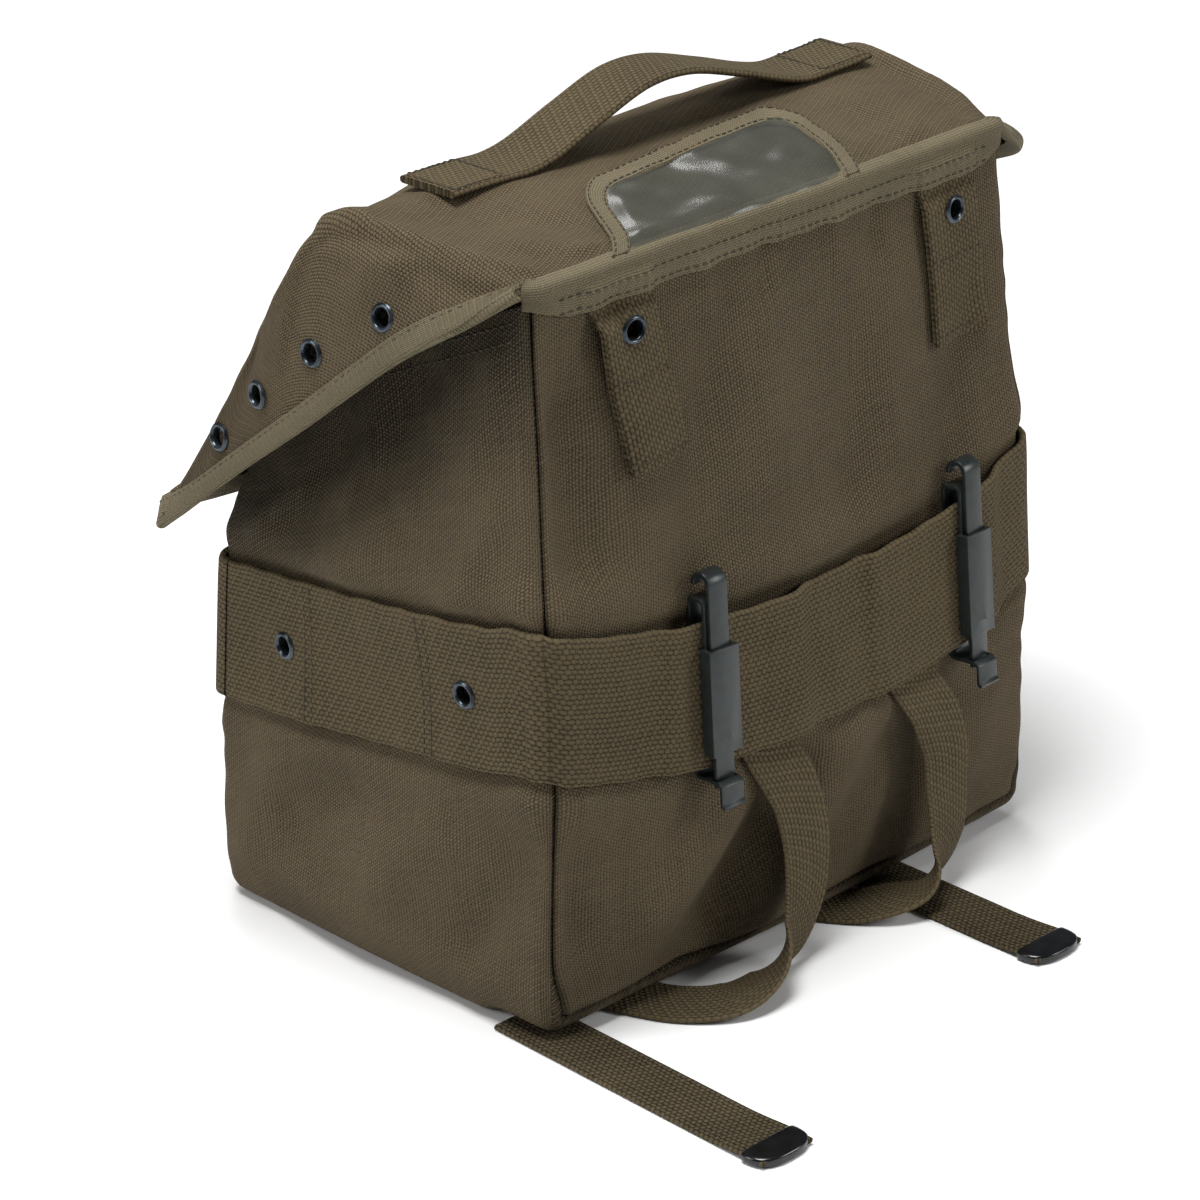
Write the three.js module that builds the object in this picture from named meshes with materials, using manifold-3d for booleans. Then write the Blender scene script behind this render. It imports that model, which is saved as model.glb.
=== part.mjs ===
// A canvas belt bag with a folded lid, a webbing band and two slide keepers.
// Units are millimetres, +Z is up, -Y is the side worn against the belt.
import * as THREE from "three";
import { mergeVertices } from "three/addons/utils/BufferGeometryUtils.js";
import Module from "manifold-3d";

const wasm = await Module();
wasm.setup();

// Bag body
const bagWidth = 206;
const bagDepth = 140;
const backHeight = 221;
const frontHeight = 164;
const cornerRadius = 9;
const cloth = 1.6;
const clearance = 0.35;
const seamGap = 0.55;
const strapRelief = 2.4;
const reliefLength = 31;
const reliefFade = 8;

// Webbing
const bandWidth = 44.5;
const bandThickness = 2.2;
const bandHeight = 92;
const sideRoom = 1.15;
const standoffFade = 9;
const tabWidth = 25.4;
const tabLength = 53;
const tabThickness = 3.4;
const handleWidth = 22;
const handleThickness = 2.2;
const handleRise = 14;
const strapWidth = 19.5;
const strapThickness = 1.7;
const footRoom = 0.12;
const nearStrapReach = 88;
const farStrapReach = 69;

// Edge tapes and the window on the lid
const tapeWall = 0.9;
const tapeDepth = 7;
const windowThickness = 0.5;
const frameTape = 6.5;
const lidDrop = 98;

// Eyelets
const eyeletHole = 2.2;
const eyeletFlange = 4.1;
const eyeletMetal = 0.5;
const eyeletRoom = 0.4;

// Slide keepers and strap tips
const keeperLength = 70;
const keeperWidth = 8.4;
const keeperMetal = 1.1;
const channelLength = 32;
const channelWidth = 11;
const barWidth = 7;
const barMetal = 1.4;
const tipLength = 8.5;
const tipWall = 0.5;

const halfWidth = bagWidth / 2;
const halfDepth = bagDepth / 2;

// Body sections by height: shares of the back height, the half width and the half depths.
const bodySections = [
  { height: 0.00, width: 0.990, back: 0.998, front: 1.020 },
  { height: 0.10, width: 0.995, back: 1.006, front: 1.030 },
  { height: 0.30, width: 0.980, back: 1.012, front: 0.990 },
  { height: 0.48, width: 0.968, back: 1.008, front: 0.960 },
  { height: 0.58, width: 0.972, back: 0.990, front: 0.890 },
  { height: 0.75, width: 0.958, back: 0.945, front: 0.620 },
  { height: 1.00, width: 0.935, back: 0.895, front: 0.520 },
];

// Swells (+) and dents (-) of the cloth: where they lie on a face, how far they
// spread, and their depth as a share of the bag's depth.
const bodyForms = [
  { face: "back", along: 0.10, height: 0.22, spread: 0.75, rise: 0.24, depth: 0.050 },
  { face: "back", along: -0.15, height: 0.68, spread: 0.60, rise: 0.20, depth: 0.022 },
  { face: "back", along: -0.55, height: 0.88, spread: 0.20, rise: 0.14, depth: -0.012 },
  { face: "front", along: 0.00, height: 0.30, spread: 0.80, rise: 0.26, depth: 0.045 },
  { face: "left", along: 0.05, height: 0.20, spread: 0.70, rise: 0.18, depth: 0.022 },
  { face: "left", along: -0.10, height: 0.60, spread: 0.60, rise: 0.14, depth: 0.030 },
  { face: "left", along: 0.35, height: 0.66, spread: 0.20, rise: 0.10, depth: -0.012 },
  { face: "right", along: 0.00, height: 0.26, spread: 0.70, rise: 0.22, depth: 0.010 },
  { face: "right", along: 0.00, height: 0.62, spread: 0.60, rise: 0.16, depth: 0.010 },
];

// Lid sections from the back seam to the front hem. Depths are shares of the half
// depth, heights of the back height and widths of the half width.
const lidSections = [
  { midY: -0.905, midZ: 0.0, turnX: 0.845, turnY: -0.855, turnZ: 0.0,
    leftX: 0.940, rightX: 0.935, edgeY: -0.845, leftZ: 0.0, rightZ: 0.0 },
  { midY: -0.720, midZ: 0.014, turnX: 0.920, turnY: -0.690, turnZ: 0.010,
    leftX: 1.035, rightX: 1.165, edgeY: -0.690, leftZ: -0.040, rightZ: -0.070 },
  { midY: -0.370, midZ: 0.028, turnX: 0.995, turnY: -0.370, turnZ: 0.024,
    leftX: 1.080, rightX: 1.235, edgeY: -0.370, leftZ: -0.106, rightZ: -0.122 },
  { midY: 0.060, midZ: 0.030, turnX: 1.050, turnY: 0.045, turnZ: 0.031,
    leftX: 1.110, rightX: 1.255, edgeY: 0.125, leftZ: -0.228, rightZ: -0.222 },
  { midY: 0.340, midZ: 0.004, turnX: 1.070, turnY: 0.270, turnZ: -0.040,
    leftX: 1.125, rightX: 1.245, edgeY: 0.420, leftZ: -0.298, rightZ: -0.292 },
  { midY: 0.600, midZ: -0.100, turnX: 1.085, turnY: 0.520, turnZ: -0.175,
    leftX: 1.135, rightX: 1.225, edgeY: 0.650, leftZ: -0.354, rightZ: -0.348 },
  { midY: 0.860, midZ: -0.240, turnX: 1.095, turnY: 0.770, turnZ: -0.300,
    leftX: 1.142, rightX: 1.200, edgeY: 0.850, leftZ: -0.403, rightZ: -0.397 },
  { midY: 1.110, midZ: -0.452, turnX: 1.105, turnY: 1.050, turnZ: -0.425,
    leftX: 1.130, rightX: 1.170, edgeY: 1.030, leftZ: -0.442, rightZ: -0.442 },
];
const lidFall = lidDrop / 0.442 / backHeight;
const lidTurn = 0.68;
const lidWing = 0.84;

// Corners of the window tape in the lid's own directions.
const windowCorners = {
  lowLeft: { across: -0.545, down: 0.03 },
  highLeft: { across: -0.300, down: 2.05 },
  highRight: { across: 0.345, down: 2.35 },
  lowRight: { across: 0.275, down: 0.04 },
};

// Free stretch of each hanging loop: across the half width, out from the back face
// in widths of a tab, and up as shares of the band's height.
const nearLoopRoute = [
  { along: -0.155, out: 0.26, up: 0.60, across: [1.00, 0.00, -0.08] },
  { along: -0.128, out: 0.34, up: 0.43, across: [0.98, 0.00, -0.20] },
  { along: -0.143, out: 0.39, up: 0.26, across: [0.93, 0.08, -0.36] },
  { along: -0.214, out: 0.47, up: 0.135, across: [0.78, 0.30, -0.50] },
  { along: -0.339, out: 0.55, up: 0.065, across: [0.62, 0.72, -0.16] },
  { along: -0.470, out: 0.50, up: 0.028, across: [0.56, 0.83, -0.02] },
  { along: -0.570, out: 0.12, up: 0.013, across: [0.60, 0.80, 0.00] },
];
const farLoopRoute = [
  { along: 0.435, out: 0.24, up: 0.64, across: [1.00, 0.00, -0.08] },
  { along: 0.470, out: 0.30, up: 0.51, across: [0.99, 0.00, -0.14] },
  { along: 0.466, out: 0.35, up: 0.38, across: [0.97, 0.04, -0.22] },
  { along: 0.448, out: 0.43, up: 0.235, across: [0.90, 0.15, -0.38] },
  { along: 0.402, out: 0.47, up: 0.130, across: [0.76, 0.45, -0.36] },
  { along: 0.330, out: 0.46, up: 0.072, across: [0.64, 0.74, -0.16] },
  { along: 0.245, out: 0.30, up: 0.046, across: [0.60, 0.80, -0.02] },
  { along: 0.165, out: -0.10, up: 0.014, across: [0.62, 0.78, 0.00] },
];
const handleRoute = [
  { along: 0.08, rise: 0.10 },
  { along: 0.25, rise: 0.58 },
  { along: 0.42, rise: 1.00 },
  { along: 0.56, rise: 1.00 },
  { along: 0.76, rise: 0.56 },
  { along: 0.92, rise: 0.14 },
];

const colours = {
  canvas: 0x3b3626,
  tape: 0x4a4430,
  webbing: 0x413b28,
  metal: 0x20241f,
  vinyl: 0x8b8f8c,
  tip: 0x0c0c0c,
};

const bag = new THREE.Group();

function addPiece(name, geometry, colour, roughness = 0.9, metalness = 0) {
  const material = new THREE.MeshStandardMaterial({ color: colour, roughness, metalness });
  const mesh = new THREE.Mesh(geometry, material);
  mesh.name = name;
  bag.add(mesh);
  return mesh;
}

function clamp(value, low, high) {
  return Math.min(high, Math.max(low, value));
}

function ease(value) {
  const share = clamp(value, 0, 1);
  return share * share * (3 - 2 * share);
}

function cubic(before, start, end, after, share) {
  const a = -before + 3 * start - 3 * end + after;
  const b = 2 * before - 5 * start + 4 * end - after;
  return 0.5 * (a * share ** 3 + b * share ** 2 + (end - before) * share) + start;
}

// Row of a table between its whole rows, every column interpolated smoothly.
function rowAt(table, position) {
  const last = table.length - 1;
  const index = clamp(Math.floor(position), 0, last - 1);
  const share = position - index;
  const row = {};
  for (const column of Object.keys(table[0])) {
    const value = (i) => table[clamp(i, 0, last)][column];
    row[column] = cubic(value(index - 1), value(index), value(index + 1), value(index + 2), share);
  }
  return row;
}

function sectionAt(height) {
  const share = clamp(height / backHeight, 0, 1);
  const next = bodySections.findIndex((row) => row.height >= share && row.height > 0);
  const low = bodySections[next - 1];
  const high = bodySections[next];
  return rowAt(bodySections, next - 1 + (share - low.height) / (high.height - low.height));
}

// Swells reach from this share of the way out to a face over this stretch of it.
const formStart = 0.25;
const formStretch = 0.65;

// Moves a point of the plain rounded box to its place on the filled, leaning bag.
function settle(point) {
  const section = sectionAt(point.z);
  const across = point.x / halfWidth;
  const along = point.y / halfDepth;
  const height = point.z / backHeight;
  const placed = new THREE.Vector3(
    point.x * section.width,
    point.y * (point.y < 0 ? section.back : section.front),
    point.z,
  );
  for (const form of bodyForms) {
    const sideways = form.face === "left" || form.face === "right";
    const sign = form.face === "left" || form.face === "back" ? -1 : 1;
    const outward = ease((sign * (sideways ? across : along) - formStart) / formStretch);
    const offset = ((sideways ? along : across) - form.along) / form.spread;
    const lift = (height - form.height) / form.rise;
    const push = sign * form.depth * bagDepth * outward * Math.exp(-(offset ** 2) - lift ** 2);
    if (sideways) placed.x += push;
    else placed.y += push;
  }
  const relief = ease((reliefLength - (point.y + halfDepth)) / reliefFade);
  placed.z += strapRelief * relief * clamp(1 - point.z / bandHeight, 0, 1);
  return placed;
}

// Point of the body's outer face, or of a face parallel to it. The place is given
// on the sharp box around the body, whose edges are rounded here.
function bodyPoint(x, y, z, offset = 0) {
  const core = new THREE.Vector3(
    clamp(x, cornerRadius - halfWidth, halfWidth - cornerRadius),
    clamp(y, cornerRadius - halfDepth, halfDepth - cornerRadius),
    Math.max(z, cornerRadius),
  );
  const outward = new THREE.Vector3(x, y, z).sub(core);
  outward.setLength(cornerRadius + offset);
  return settle(core.add(outward));
}

function topAt(y) {
  return THREE.MathUtils.mapLinear(y, -halfDepth, halfDepth, backHeight, frontHeight);
}

// Closed solid from points and triangles, turned so that its faces point out.
function solid(points, triangles) {
  let volume = 0;
  for (const [a, b, c] of triangles) {
    volume += points[a].dot(new THREE.Vector3().crossVectors(points[b], points[c]));
  }
  const geometry = new THREE.BufferGeometry();
  geometry.setFromPoints(points);
  geometry.setIndex(triangles.flatMap(([a, b, c]) => (volume < 0 ? [a, c, b] : [a, b, c])));
  geometry.computeVertexNormals();
  return geometry;
}

// Sheet of even thickness over a grid of places, between two offsets from its face.
function sheet(rows, columns, pointAt, low, high) {
  const points = [];
  for (const offset of [low, high]) {
    for (const row of rows) {
      for (const column of columns) points.push(pointAt(row, column, offset));
    }
  }
  const count = columns.length;
  const layer = rows.length * count;
  const triangles = [];
  const quad = (a, b, c, d) => triangles.push([a, b, c], [a, c, d]);
  for (let i = 0; i < rows.length - 1; i++) {
    for (let j = 0; j < count - 1; j++) {
      const a = i * count + j;
      quad(layer + a, layer + a + 1, layer + a + count + 1, layer + a + count);
      quad(a, a + count, a + count + 1, a + 1);
    }
  }
  const rim = [];
  for (let j = 0; j < count - 1; j++) rim.push(j);
  for (let i = 0; i < rows.length - 1; i++) rim.push(i * count + count - 1);
  for (let j = count - 1; j > 0; j--) rim.push((rows.length - 1) * count + j);
  for (let i = rows.length - 1; i > 0; i--) rim.push(i * count);
  rim.forEach((place, i) => {
    const next = rim[(i + 1) % rim.length];
    quad(place, next, layer + next, layer + place);
  });
  return solid(points, triangles);
}

const rectangleCap = [[0, 1, 2, 3]];
const channelCap = [[0, 1, 6, 7], [1, 2, 5, 6], [2, 3, 4, 5]];

// Solid through matching sections. An open run is closed by caps of four-sided faces.
function sweep(sections, cap, loop = false) {
  const count = sections[0].length;
  const points = sections.flat();
  const triangles = [];
  const runs = loop ? sections.length : sections.length - 1;
  for (let i = 0; i < runs; i++) {
    const next = (i + 1) % sections.length;
    for (let j = 0; j < count; j++) {
      const k = (j + 1) % count;
      triangles.push([i * count + j, i * count + k, next * count + k]);
      triangles.push([i * count + j, next * count + k, next * count + j]);
    }
  }
  if (!loop) {
    const end = (sections.length - 1) * count;
    for (const [a, b, c, d] of cap) {
      triangles.push([a, c, b], [a, d, c]);
      triangles.push([end + a, end + b, end + c], [end + a, end + c, end + d]);
    }
  }
  return solid(points, triangles);
}

function toManifold(geometry) {
  const plain = geometry.clone();
  plain.deleteAttribute("normal");
  plain.deleteAttribute("uv");
  const merged = mergeVertices(plain, 1e-4);
  return new wasm.Manifold(new wasm.Mesh({
    numProp: 3,
    vertProperties: new Float32Array(merged.attributes.position.array),
    triVerts: new Uint32Array(merged.index.array),
  }));
}

function fromManifold(manifold) {
  const mesh = manifold.getMesh();
  const geometry = new THREE.BufferGeometry();
  geometry.setAttribute("position", new THREE.BufferAttribute(mesh.vertProperties, 3));
  geometry.setIndex(new THREE.BufferAttribute(mesh.triVerts, 1));
  geometry.computeVertexNormals();
  return geometry;
}

function cut(geometry, cutters) {
  let shape = toManifold(geometry);
  for (const cutter of cutters) shape = shape.subtract(toManifold(cutter));
  return fromManifold(shape);
}

function join(geometries) {
  const [first, ...others] = geometries.map(toManifold);
  return fromManifold(others.reduce((shape, other) => shape.add(other), first));
}

// Seat on a face: its place, with local X along the face and local Z straight out.
function seatOn(pointAt, u, v) {
  const step = 0.02;
  const place = pointAt(u, v, 0);
  const along = pointAt(u + step, v, 0).sub(pointAt(u - step, v, 0)).normalize();
  const side = pointAt(u, v + step, 0).sub(pointAt(u, v - step, 0));
  const outward = new THREE.Vector3().crossVectors(along, side).normalize();
  if (outward.dot(pointAt(u, v, 1).sub(place)) < 0) outward.negate();
  const upward = new THREE.Vector3().crossVectors(outward, along);
  return new THREE.Matrix4().makeBasis(along, upward, outward).setPosition(place);
}

function between(low, high, steps) {
  return Array.from({ length: steps + 1 }, (_, i) => low + ((high - low) * i) / steps);
}

// Places across a face of the box, with lines on its rounded edges.
function faceLines(half, steps) {
  const inner = half - cornerRadius;
  const edge = [half - seamGap, half - cornerRadius / 2];
  return [...edge.map((place) => -place), ...between(-inner, inner, steps), ...edge.reverse()];
}

function sideLines(steps) {
  return [cornerRadius, ...between(0, 1, steps).slice(1)];
}

// A side place is a height over the rounded foot: the first line is absolute.
function sideHeight(line, y) {
  return line === cornerRadius ? line : cornerRadius + line * (topAt(y) - cornerRadius);
}

function makeGusset() {
  const lines = sideLines(10);
  const inner = halfWidth - cornerRadius;
  const path = [];
  for (const line of [...lines].reverse()) path.push((y) => [-halfWidth, sideHeight(line, y)]);
  path.push(() => [-halfWidth, cornerRadius / 2]);
  path.push(() => [-halfWidth, 0]);
  path.push(() => [cornerRadius / 2 - halfWidth, 0]);
  for (const x of between(-inner, inner, 6)) path.push(() => [x, 0]);
  path.push(() => [halfWidth - cornerRadius / 2, 0]);
  path.push(() => [halfWidth, 0]);
  path.push(() => [halfWidth, cornerRadius / 2]);
  for (const line of lines) path.push((y) => [halfWidth, sideHeight(line, y)]);
  const pointAt = (place, y, offset) => {
    const [x, z] = place(y);
    return bodyPoint(x, y, z, offset);
  };
  const reliefEdge = [reliefLength - halfDepth - reliefFade, reliefLength - halfDepth];
  const columns = [...faceLines(halfDepth, 8), ...reliefEdge].sort((a, b) => a - b);
  return sheet(path, columns, pointAt, -cloth, 0);
}

function makePanel(y) {
  const lines = [seamGap, cornerRadius / 2, ...sideLines(11).map((line) => sideHeight(line, y))];
  const pointAt = (z, x, offset) => bodyPoint(x, y, z, offset);
  if (y < 0) lines.splice(-1, 0, backHeight - tapeDepth);
  return sheet(lines, faceLines(halfWidth, 10), pointAt, -cloth, 0);
}

// Height of the lid's middle face where it starts, just over the seam tape.
const lidStart = backHeight + clearance + tapeWall + clearance + cloth / 2;

// Point of the lid: across runs from -1 at the left edge to 1, down is a table row.
function lidPoint(across, down, offset = 0) {
  const flat = (a, d) => {
    const row = rowAt(lidSections, d);
    const side = a < 0 ? -1 : 1;
    const drop = (share) => lidStart + share * backHeight * (share < 0 ? lidFall : 1);
    const middle = new THREE.Vector3(0, row.midY * halfDepth, drop(row.midZ));
    const turn = new THREE.Vector3(side * row.turnX * halfWidth, row.turnY * halfDepth, drop(row.turnZ));
    const edge = new THREE.Vector3(
      side * (a < 0 ? row.leftX : row.rightX) * halfWidth,
      row.edgeY * halfDepth,
      drop(a < 0 ? row.leftZ : row.rightZ),
    );
    const roll = clamp((cornerRadius * 0.8) / turn.distanceTo(edge), 0, 0.45);
    const inner = turn.clone().lerp(middle, 0.07);
    const outer = turn.clone().lerp(edge, roll);
    const share = Math.abs(a);
    if (share <= lidTurn) {
      const reach = share / lidTurn;
      const place = middle.clone().lerp(inner, reach ** 3);
      place.x = inner.x * reach;
      return place;
    }
    if (share < lidWing) {
      const t = (share - lidTurn) / (lidWing - lidTurn);
      const first = inner.clone().lerp(turn, t);
      return first.lerp(turn.clone().lerp(outer, t), t);
    }
    return outer.clone().lerp(edge, (share - lidWing) / (1 - lidWing));
  };
  const place = flat(across, down);
  if (offset === 0) return place;
  const step = 0.01;
  const last = lidSections.length - 1;
  const low = clamp(down - step, 0, last);
  const high = clamp(down + step, 0, last);
  const left = clamp(across - step, -1, 1);
  const right = clamp(across + step, -1, 1);
  const along = flat(right, down).sub(flat(left, down));
  const fall = flat(across, high).sub(flat(across, low));
  const outward = new THREE.Vector3().crossVectors(along, fall).normalize();
  return place.addScaledVector(outward, offset);
}

const lidEnd = lidSections.length - 1;

// Eyelets of each wing: their section of the lid, and how far in from its edge they sit.
const lidEyelets = [
  { down: 2.22, inset: 15.4 },
  { down: 3.00, inset: 21.0 },
  { down: 4.10, inset: 21.0 },
  { down: 5.25, inset: 17.5 },
];

function lidEyeletSeats(side) {
  return lidEyelets.map(({ down, inset }) => {
    const wing = lidPoint(side * lidWing, down).distanceTo(lidPoint(side, down));
    const across = side * (1 - (1 - lidWing) * (inset / wing));
    return seatOn(lidPoint, across, down);
  });
}

function eyeletHoles(seats, radius = eyeletHole + eyeletMetal + clearance) {
  return seats.map((seat) => {
    const hole = new THREE.CylinderGeometry(radius, radius, 12, 14);
    return hole.rotateX(Math.PI / 2).applyMatrix4(seat);
  });
}

// Rolled ring that grips a sheet of the given thickness on both of its faces.
function eyelet(thickness) {
  const reach = thickness / 2 + clearance + eyeletRoom;
  const outer = eyeletHole + eyeletMetal;
  const profile = [
    [eyeletHole, -reach - eyeletMetal],
    [eyeletFlange, -reach - eyeletMetal],
    [eyeletFlange, -reach],
    [outer, -reach],
    [outer, reach],
    [eyeletFlange, reach],
    [eyeletFlange - eyeletMetal, reach + eyeletMetal * 1.6],
    [eyeletHole + eyeletMetal, reach + eyeletMetal * 1.6],
    [eyeletHole, reach],
  ];
  const corners = profile.map(([x, y]) => new THREE.Vector2(x, y));
  return new THREE.LatheGeometry([...corners, corners[0]], 14).rotateX(Math.PI / 2);
}

function addEyelets(name, seats, thickness) {
  seats.forEach((seat, i) => {
    const ring = eyelet(thickness).applyMatrix4(seat);
    addPiece(`${name}_${i + 1}`, ring, colours.metal, 0.4, 0.9);
  });
}

const lidThickness = cloth;
const tapeStart = 0.5;
const lidHalf = [0.17, 0.34, 0.51, lidTurn, 0.72, 0.76, 0.80, lidWing, 0.9];
const lidColumns = [...lidHalf, 1, 2].flatMap((share) => [-share, share]).concat(0).sort((a, b) => a - b);
const lidRows = between(0, lidEnd, lidEnd * 3);

// Columns 1 and 2 stand for the line under the tape's inner edge and the lid's edge.
function lidAcross(column, down) {
  const side = Math.sign(column);
  if (Math.abs(column) < 1) return column;
  if (Math.abs(column) > 1) return side;
  const wing = lidPoint(side * lidWing, down).distanceTo(lidPoint(side, down));
  return side * (1 - (1 - lidWing) * Math.min(tapeDepth / wing, 0.3));
}

function lidSheet(thickness) {
  const pointAt = (down, column, offset) => lidPoint(lidAcross(column, down), down, offset);
  return sheet(lidRows, lidColumns, pointAt, -thickness / 2, thickness / 2);
}

function makeLid() {
  const cloths = lidSheet(lidThickness);
  const holes = [-1, 1].flatMap((side) => eyeletHoles(lidEyeletSeats(side)));
  return cut(cloths, holes);
}

// Tape folded round the lid's left edge, front hem and right edge.
function makeLidTape() {
  const sideRows = lidRows.filter((down) => down > tapeStart && down < lidEnd);
  const stations = [
    ...sideRows.map((down) => ({ across: -1, down })),
    ...lidColumns.map((column) => ({ across: lidAcross(column, lidEnd), down: lidEnd })),
    ...sideRows.reverse().map((down) => ({ across: 1, down })),
  ];
  const sections = stations.map(({ across, down }) => {
    const edge = lidPoint(across, down);
    const normal = lidPoint(across, down, 1).sub(edge);
    const neighbours = [];
    if (Math.abs(across) === 1) neighbours.push([across * lidWing, down]);
    if (down === lidEnd) neighbours.push([across, lidRows.at(-2)]);
    const runs = neighbours.map(([a, d]) => {
      const inner = lidPoint(a, d);
      const lean = lidPoint(a, d, 1).sub(inner);
      return { along: inner.sub(edge), lean };
    });
    const place = (depth, height) => {
      const point = edge.clone();
      const out = normal.clone();
      for (const { along, lean } of runs) {
        const share = depth / along.length();
        point.addScaledVector(along, share);
        out.lerp(lean, clamp(share, 0, 1) / runs.length);
      }
      return point.addScaledVector(out.normalize(), height);
    };
    const groove = lidThickness / 2 + clearance * 2;
    const face = groove + tapeWall;
    const back = -clearance - tapeWall;
    return [
      place(tapeDepth, face), place(back, face), place(back, -face), place(tapeDepth, -face),
      place(tapeDepth, -groove), place(-clearance, -groove), place(-clearance, groove), place(tapeDepth, groove),
    ];
  });
  return cut(sweep(sections, channelCap), [lidSheet(lidThickness + clearance * 2)]);
}

// Tape folded over the back panel's top edge, which the lid is sewn to.
function makeSeamTape() {
  const reach = halfWidth - cornerRadius;
  const foot = backHeight - tapeDepth;
  const sections = between(-reach, reach, 10).map((x) => {
    const place = (offset, z) => {
      const point = bodyPoint(x, -halfDepth, Math.min(z, backHeight), offset);
      point.z += Math.max(0, z - backHeight);
      return point;
    };
    const inner = -cloth - clearance;
    return [
      place(clearance + tapeWall, foot),
      place(clearance + tapeWall, backHeight + clearance + tapeWall),
      place(inner - tapeWall, backHeight + clearance + tapeWall),
      place(inner - tapeWall, foot),
      place(inner, foot),
      place(inner, backHeight + clearance),
      place(clearance, backHeight + clearance),
      place(clearance, foot),
    ];
  });
  return sweep(sections, channelCap);
}

function windowPoint(across, up, offset) {
  const { lowLeft, highLeft, highRight, lowRight } = windowCorners;
  const mix = (key) => {
    const low = THREE.MathUtils.lerp(lowLeft[key], lowRight[key], across);
    const high = THREE.MathUtils.lerp(highLeft[key], highRight[key], across);
    return THREE.MathUtils.lerp(low, high, up);
  };
  return lidPoint(mix("across"), mix("down"), offset);
}

const windowLift = lidThickness / 2 + clearance;
const windowSpan = windowPoint(0, 0.5, 0).distanceTo(windowPoint(1, 0.5, 0));
const windowTall = windowPoint(0.5, 0, 0).distanceTo(windowPoint(0.5, 1, 0));

function makeWindow() {
  const sideShare = (frameTape * 0.5) / windowSpan;
  const topShare = (frameTape * 0.5) / windowTall;
  const pointAt = (up, across, offset) => windowPoint(across, up, offset);
  const columns = between(sideShare, 1 - sideShare, 10);
  return sheet(between(0, 1 - topShare, 6), columns, pointAt, windowLift, windowLift + windowThickness);
}

function makeWindowTape() {
  const outline = [];
  const turn = 0.12;
  for (const up of between(0, 1 - turn * 2, 4)) outline.push([0, up]);
  for (const share of [0.33, 0.67]) {
    const angle = (share * Math.PI) / 2;
    outline.push([turn * (1 - Math.cos(angle)), 1 - turn * 2 * (1 - Math.sin(angle))]);
  }
  for (const across of between(turn, 1 - turn, 8)) outline.push([across, 1]);
  for (const share of [0.67, 0.33]) {
    const angle = (share * Math.PI) / 2;
    outline.push([1 - turn * (1 - Math.cos(angle)), 1 - turn * 2 * (1 - Math.sin(angle))]);
  }
  for (const up of between(1 - turn * 2, 0, 4)) outline.push([1, up]);
  const sideShare = frameTape / windowSpan;
  const topShare = frameTape / windowTall;
  const low = windowLift + windowThickness + clearance;
  const high = low + tapeWall;
  const sections = outline.map(([across, up]) => {
    const inAcross = sideShare + across * (1 - 2 * sideShare);
    const inUp = up * (1 - topShare);
    return [
      windowPoint(across, up, high), windowPoint(inAcross, inUp, high),
      windowPoint(inAcross, inUp, low), windowPoint(across, up, low),
    ];
  });
  return sweep(sections, rectangleCap);
}

// Flat ribbon through stations that hold a middle point and the direction across.
function ribbon(stations, width, thickness) {
  const places = stations.map((station) => station.place);
  const curve = new THREE.CatmullRomCurve3(places, false, "centripetal");
  const steps = (stations.length - 1) * 3;
  const last = stations.length - 1;
  const sections = between(0, last, steps).map((position) => {
    const share = position / last;
    const place = curve.getPoint(share);
    const tangent = curve.getTangent(share);
    const index = Math.min(Math.floor(position), last - 1);
    const across = stations[index].across.clone().lerp(stations[index + 1].across, position - index);
    across.addScaledVector(tangent, -across.dot(tangent)).setLength(width / 2);
    const normal = new THREE.Vector3().crossVectors(tangent, across).setLength(thickness / 2);
    const corner = (a, n) => place.clone().addScaledVector(across, a).addScaledVector(normal, n);
    return [corner(1, 1), corner(-1, 1), corner(-1, -1), corner(1, -1)];
  });
  return sweep(sections, rectangleCap);
}

const acrossY = new THREE.Vector3(0, 1, 0);

function makeHandle() {
  const lift = lidThickness / 2 + clearance + handleThickness / 2;
  const patch = (share) => ({ place: lidPoint(share, 2.82, lift), across: acrossY });
  const left = [-0.510, -0.440, -0.370, -0.310].map(patch);
  const right = [0.465, 0.525, 0.585, 0.645].map(patch);
  const start = left[3].place;
  const end = right[0].place;
  const arch = handleRoute.map(({ along, rise }) => {
    const place = start.clone().lerp(end, along);
    place.z += rise * handleRise;
    return { place, across: acrossY };
  });
  return ribbon([...left, ...arch, ...right], handleWidth, handleThickness);
}

// The band sags between the corners of the bag.
function bandMiddle(x, y) {
  const across = Math.abs(x) / halfWidth;
  if (y <= cornerRadius - halfDepth) return bandHeight + bandHeight * 0.15 * across ** 2.5;
  if (Math.abs(x) < halfWidth - cornerRadius) return bandHeight * (0.96 + 0.01 * across ** 2);
  return bandHeight * (1.06 - (0.09 * y) / halfDepth);
}

const loopCentres = { near: -0.223, far: 0.384 };
const keeperCentres = { near: -0.440, far: 0.640 };
const bandLift = 4 * clearance + strapThickness;
const standoffMargin = 0.65;

// Where keepers and loops pass behind the band, it stands off the back panel.
function bandStandoff(x, y) {
  const backShare = ease((cornerRadius - halfDepth - y) / cornerRadius + 1);
  const zones = [[keeperCentres.near, loopCentres.near], [loopCentres.far, keeperCentres.far]];
  const raised = zones.map(([low, high]) => {
    const from = low * halfWidth - strapWidth * standoffMargin;
    const to = high * halfWidth + strapWidth * standoffMargin;
    return ease((x - from) / standoffFade + 1) * ease((to - x) / standoffFade + 1);
  });
  const lift = Math.max(...raised) * (bandLift - clearance);
  return clearance * 2 + THREE.MathUtils.lerp(sideRoom, lift, backShare);
}

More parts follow.
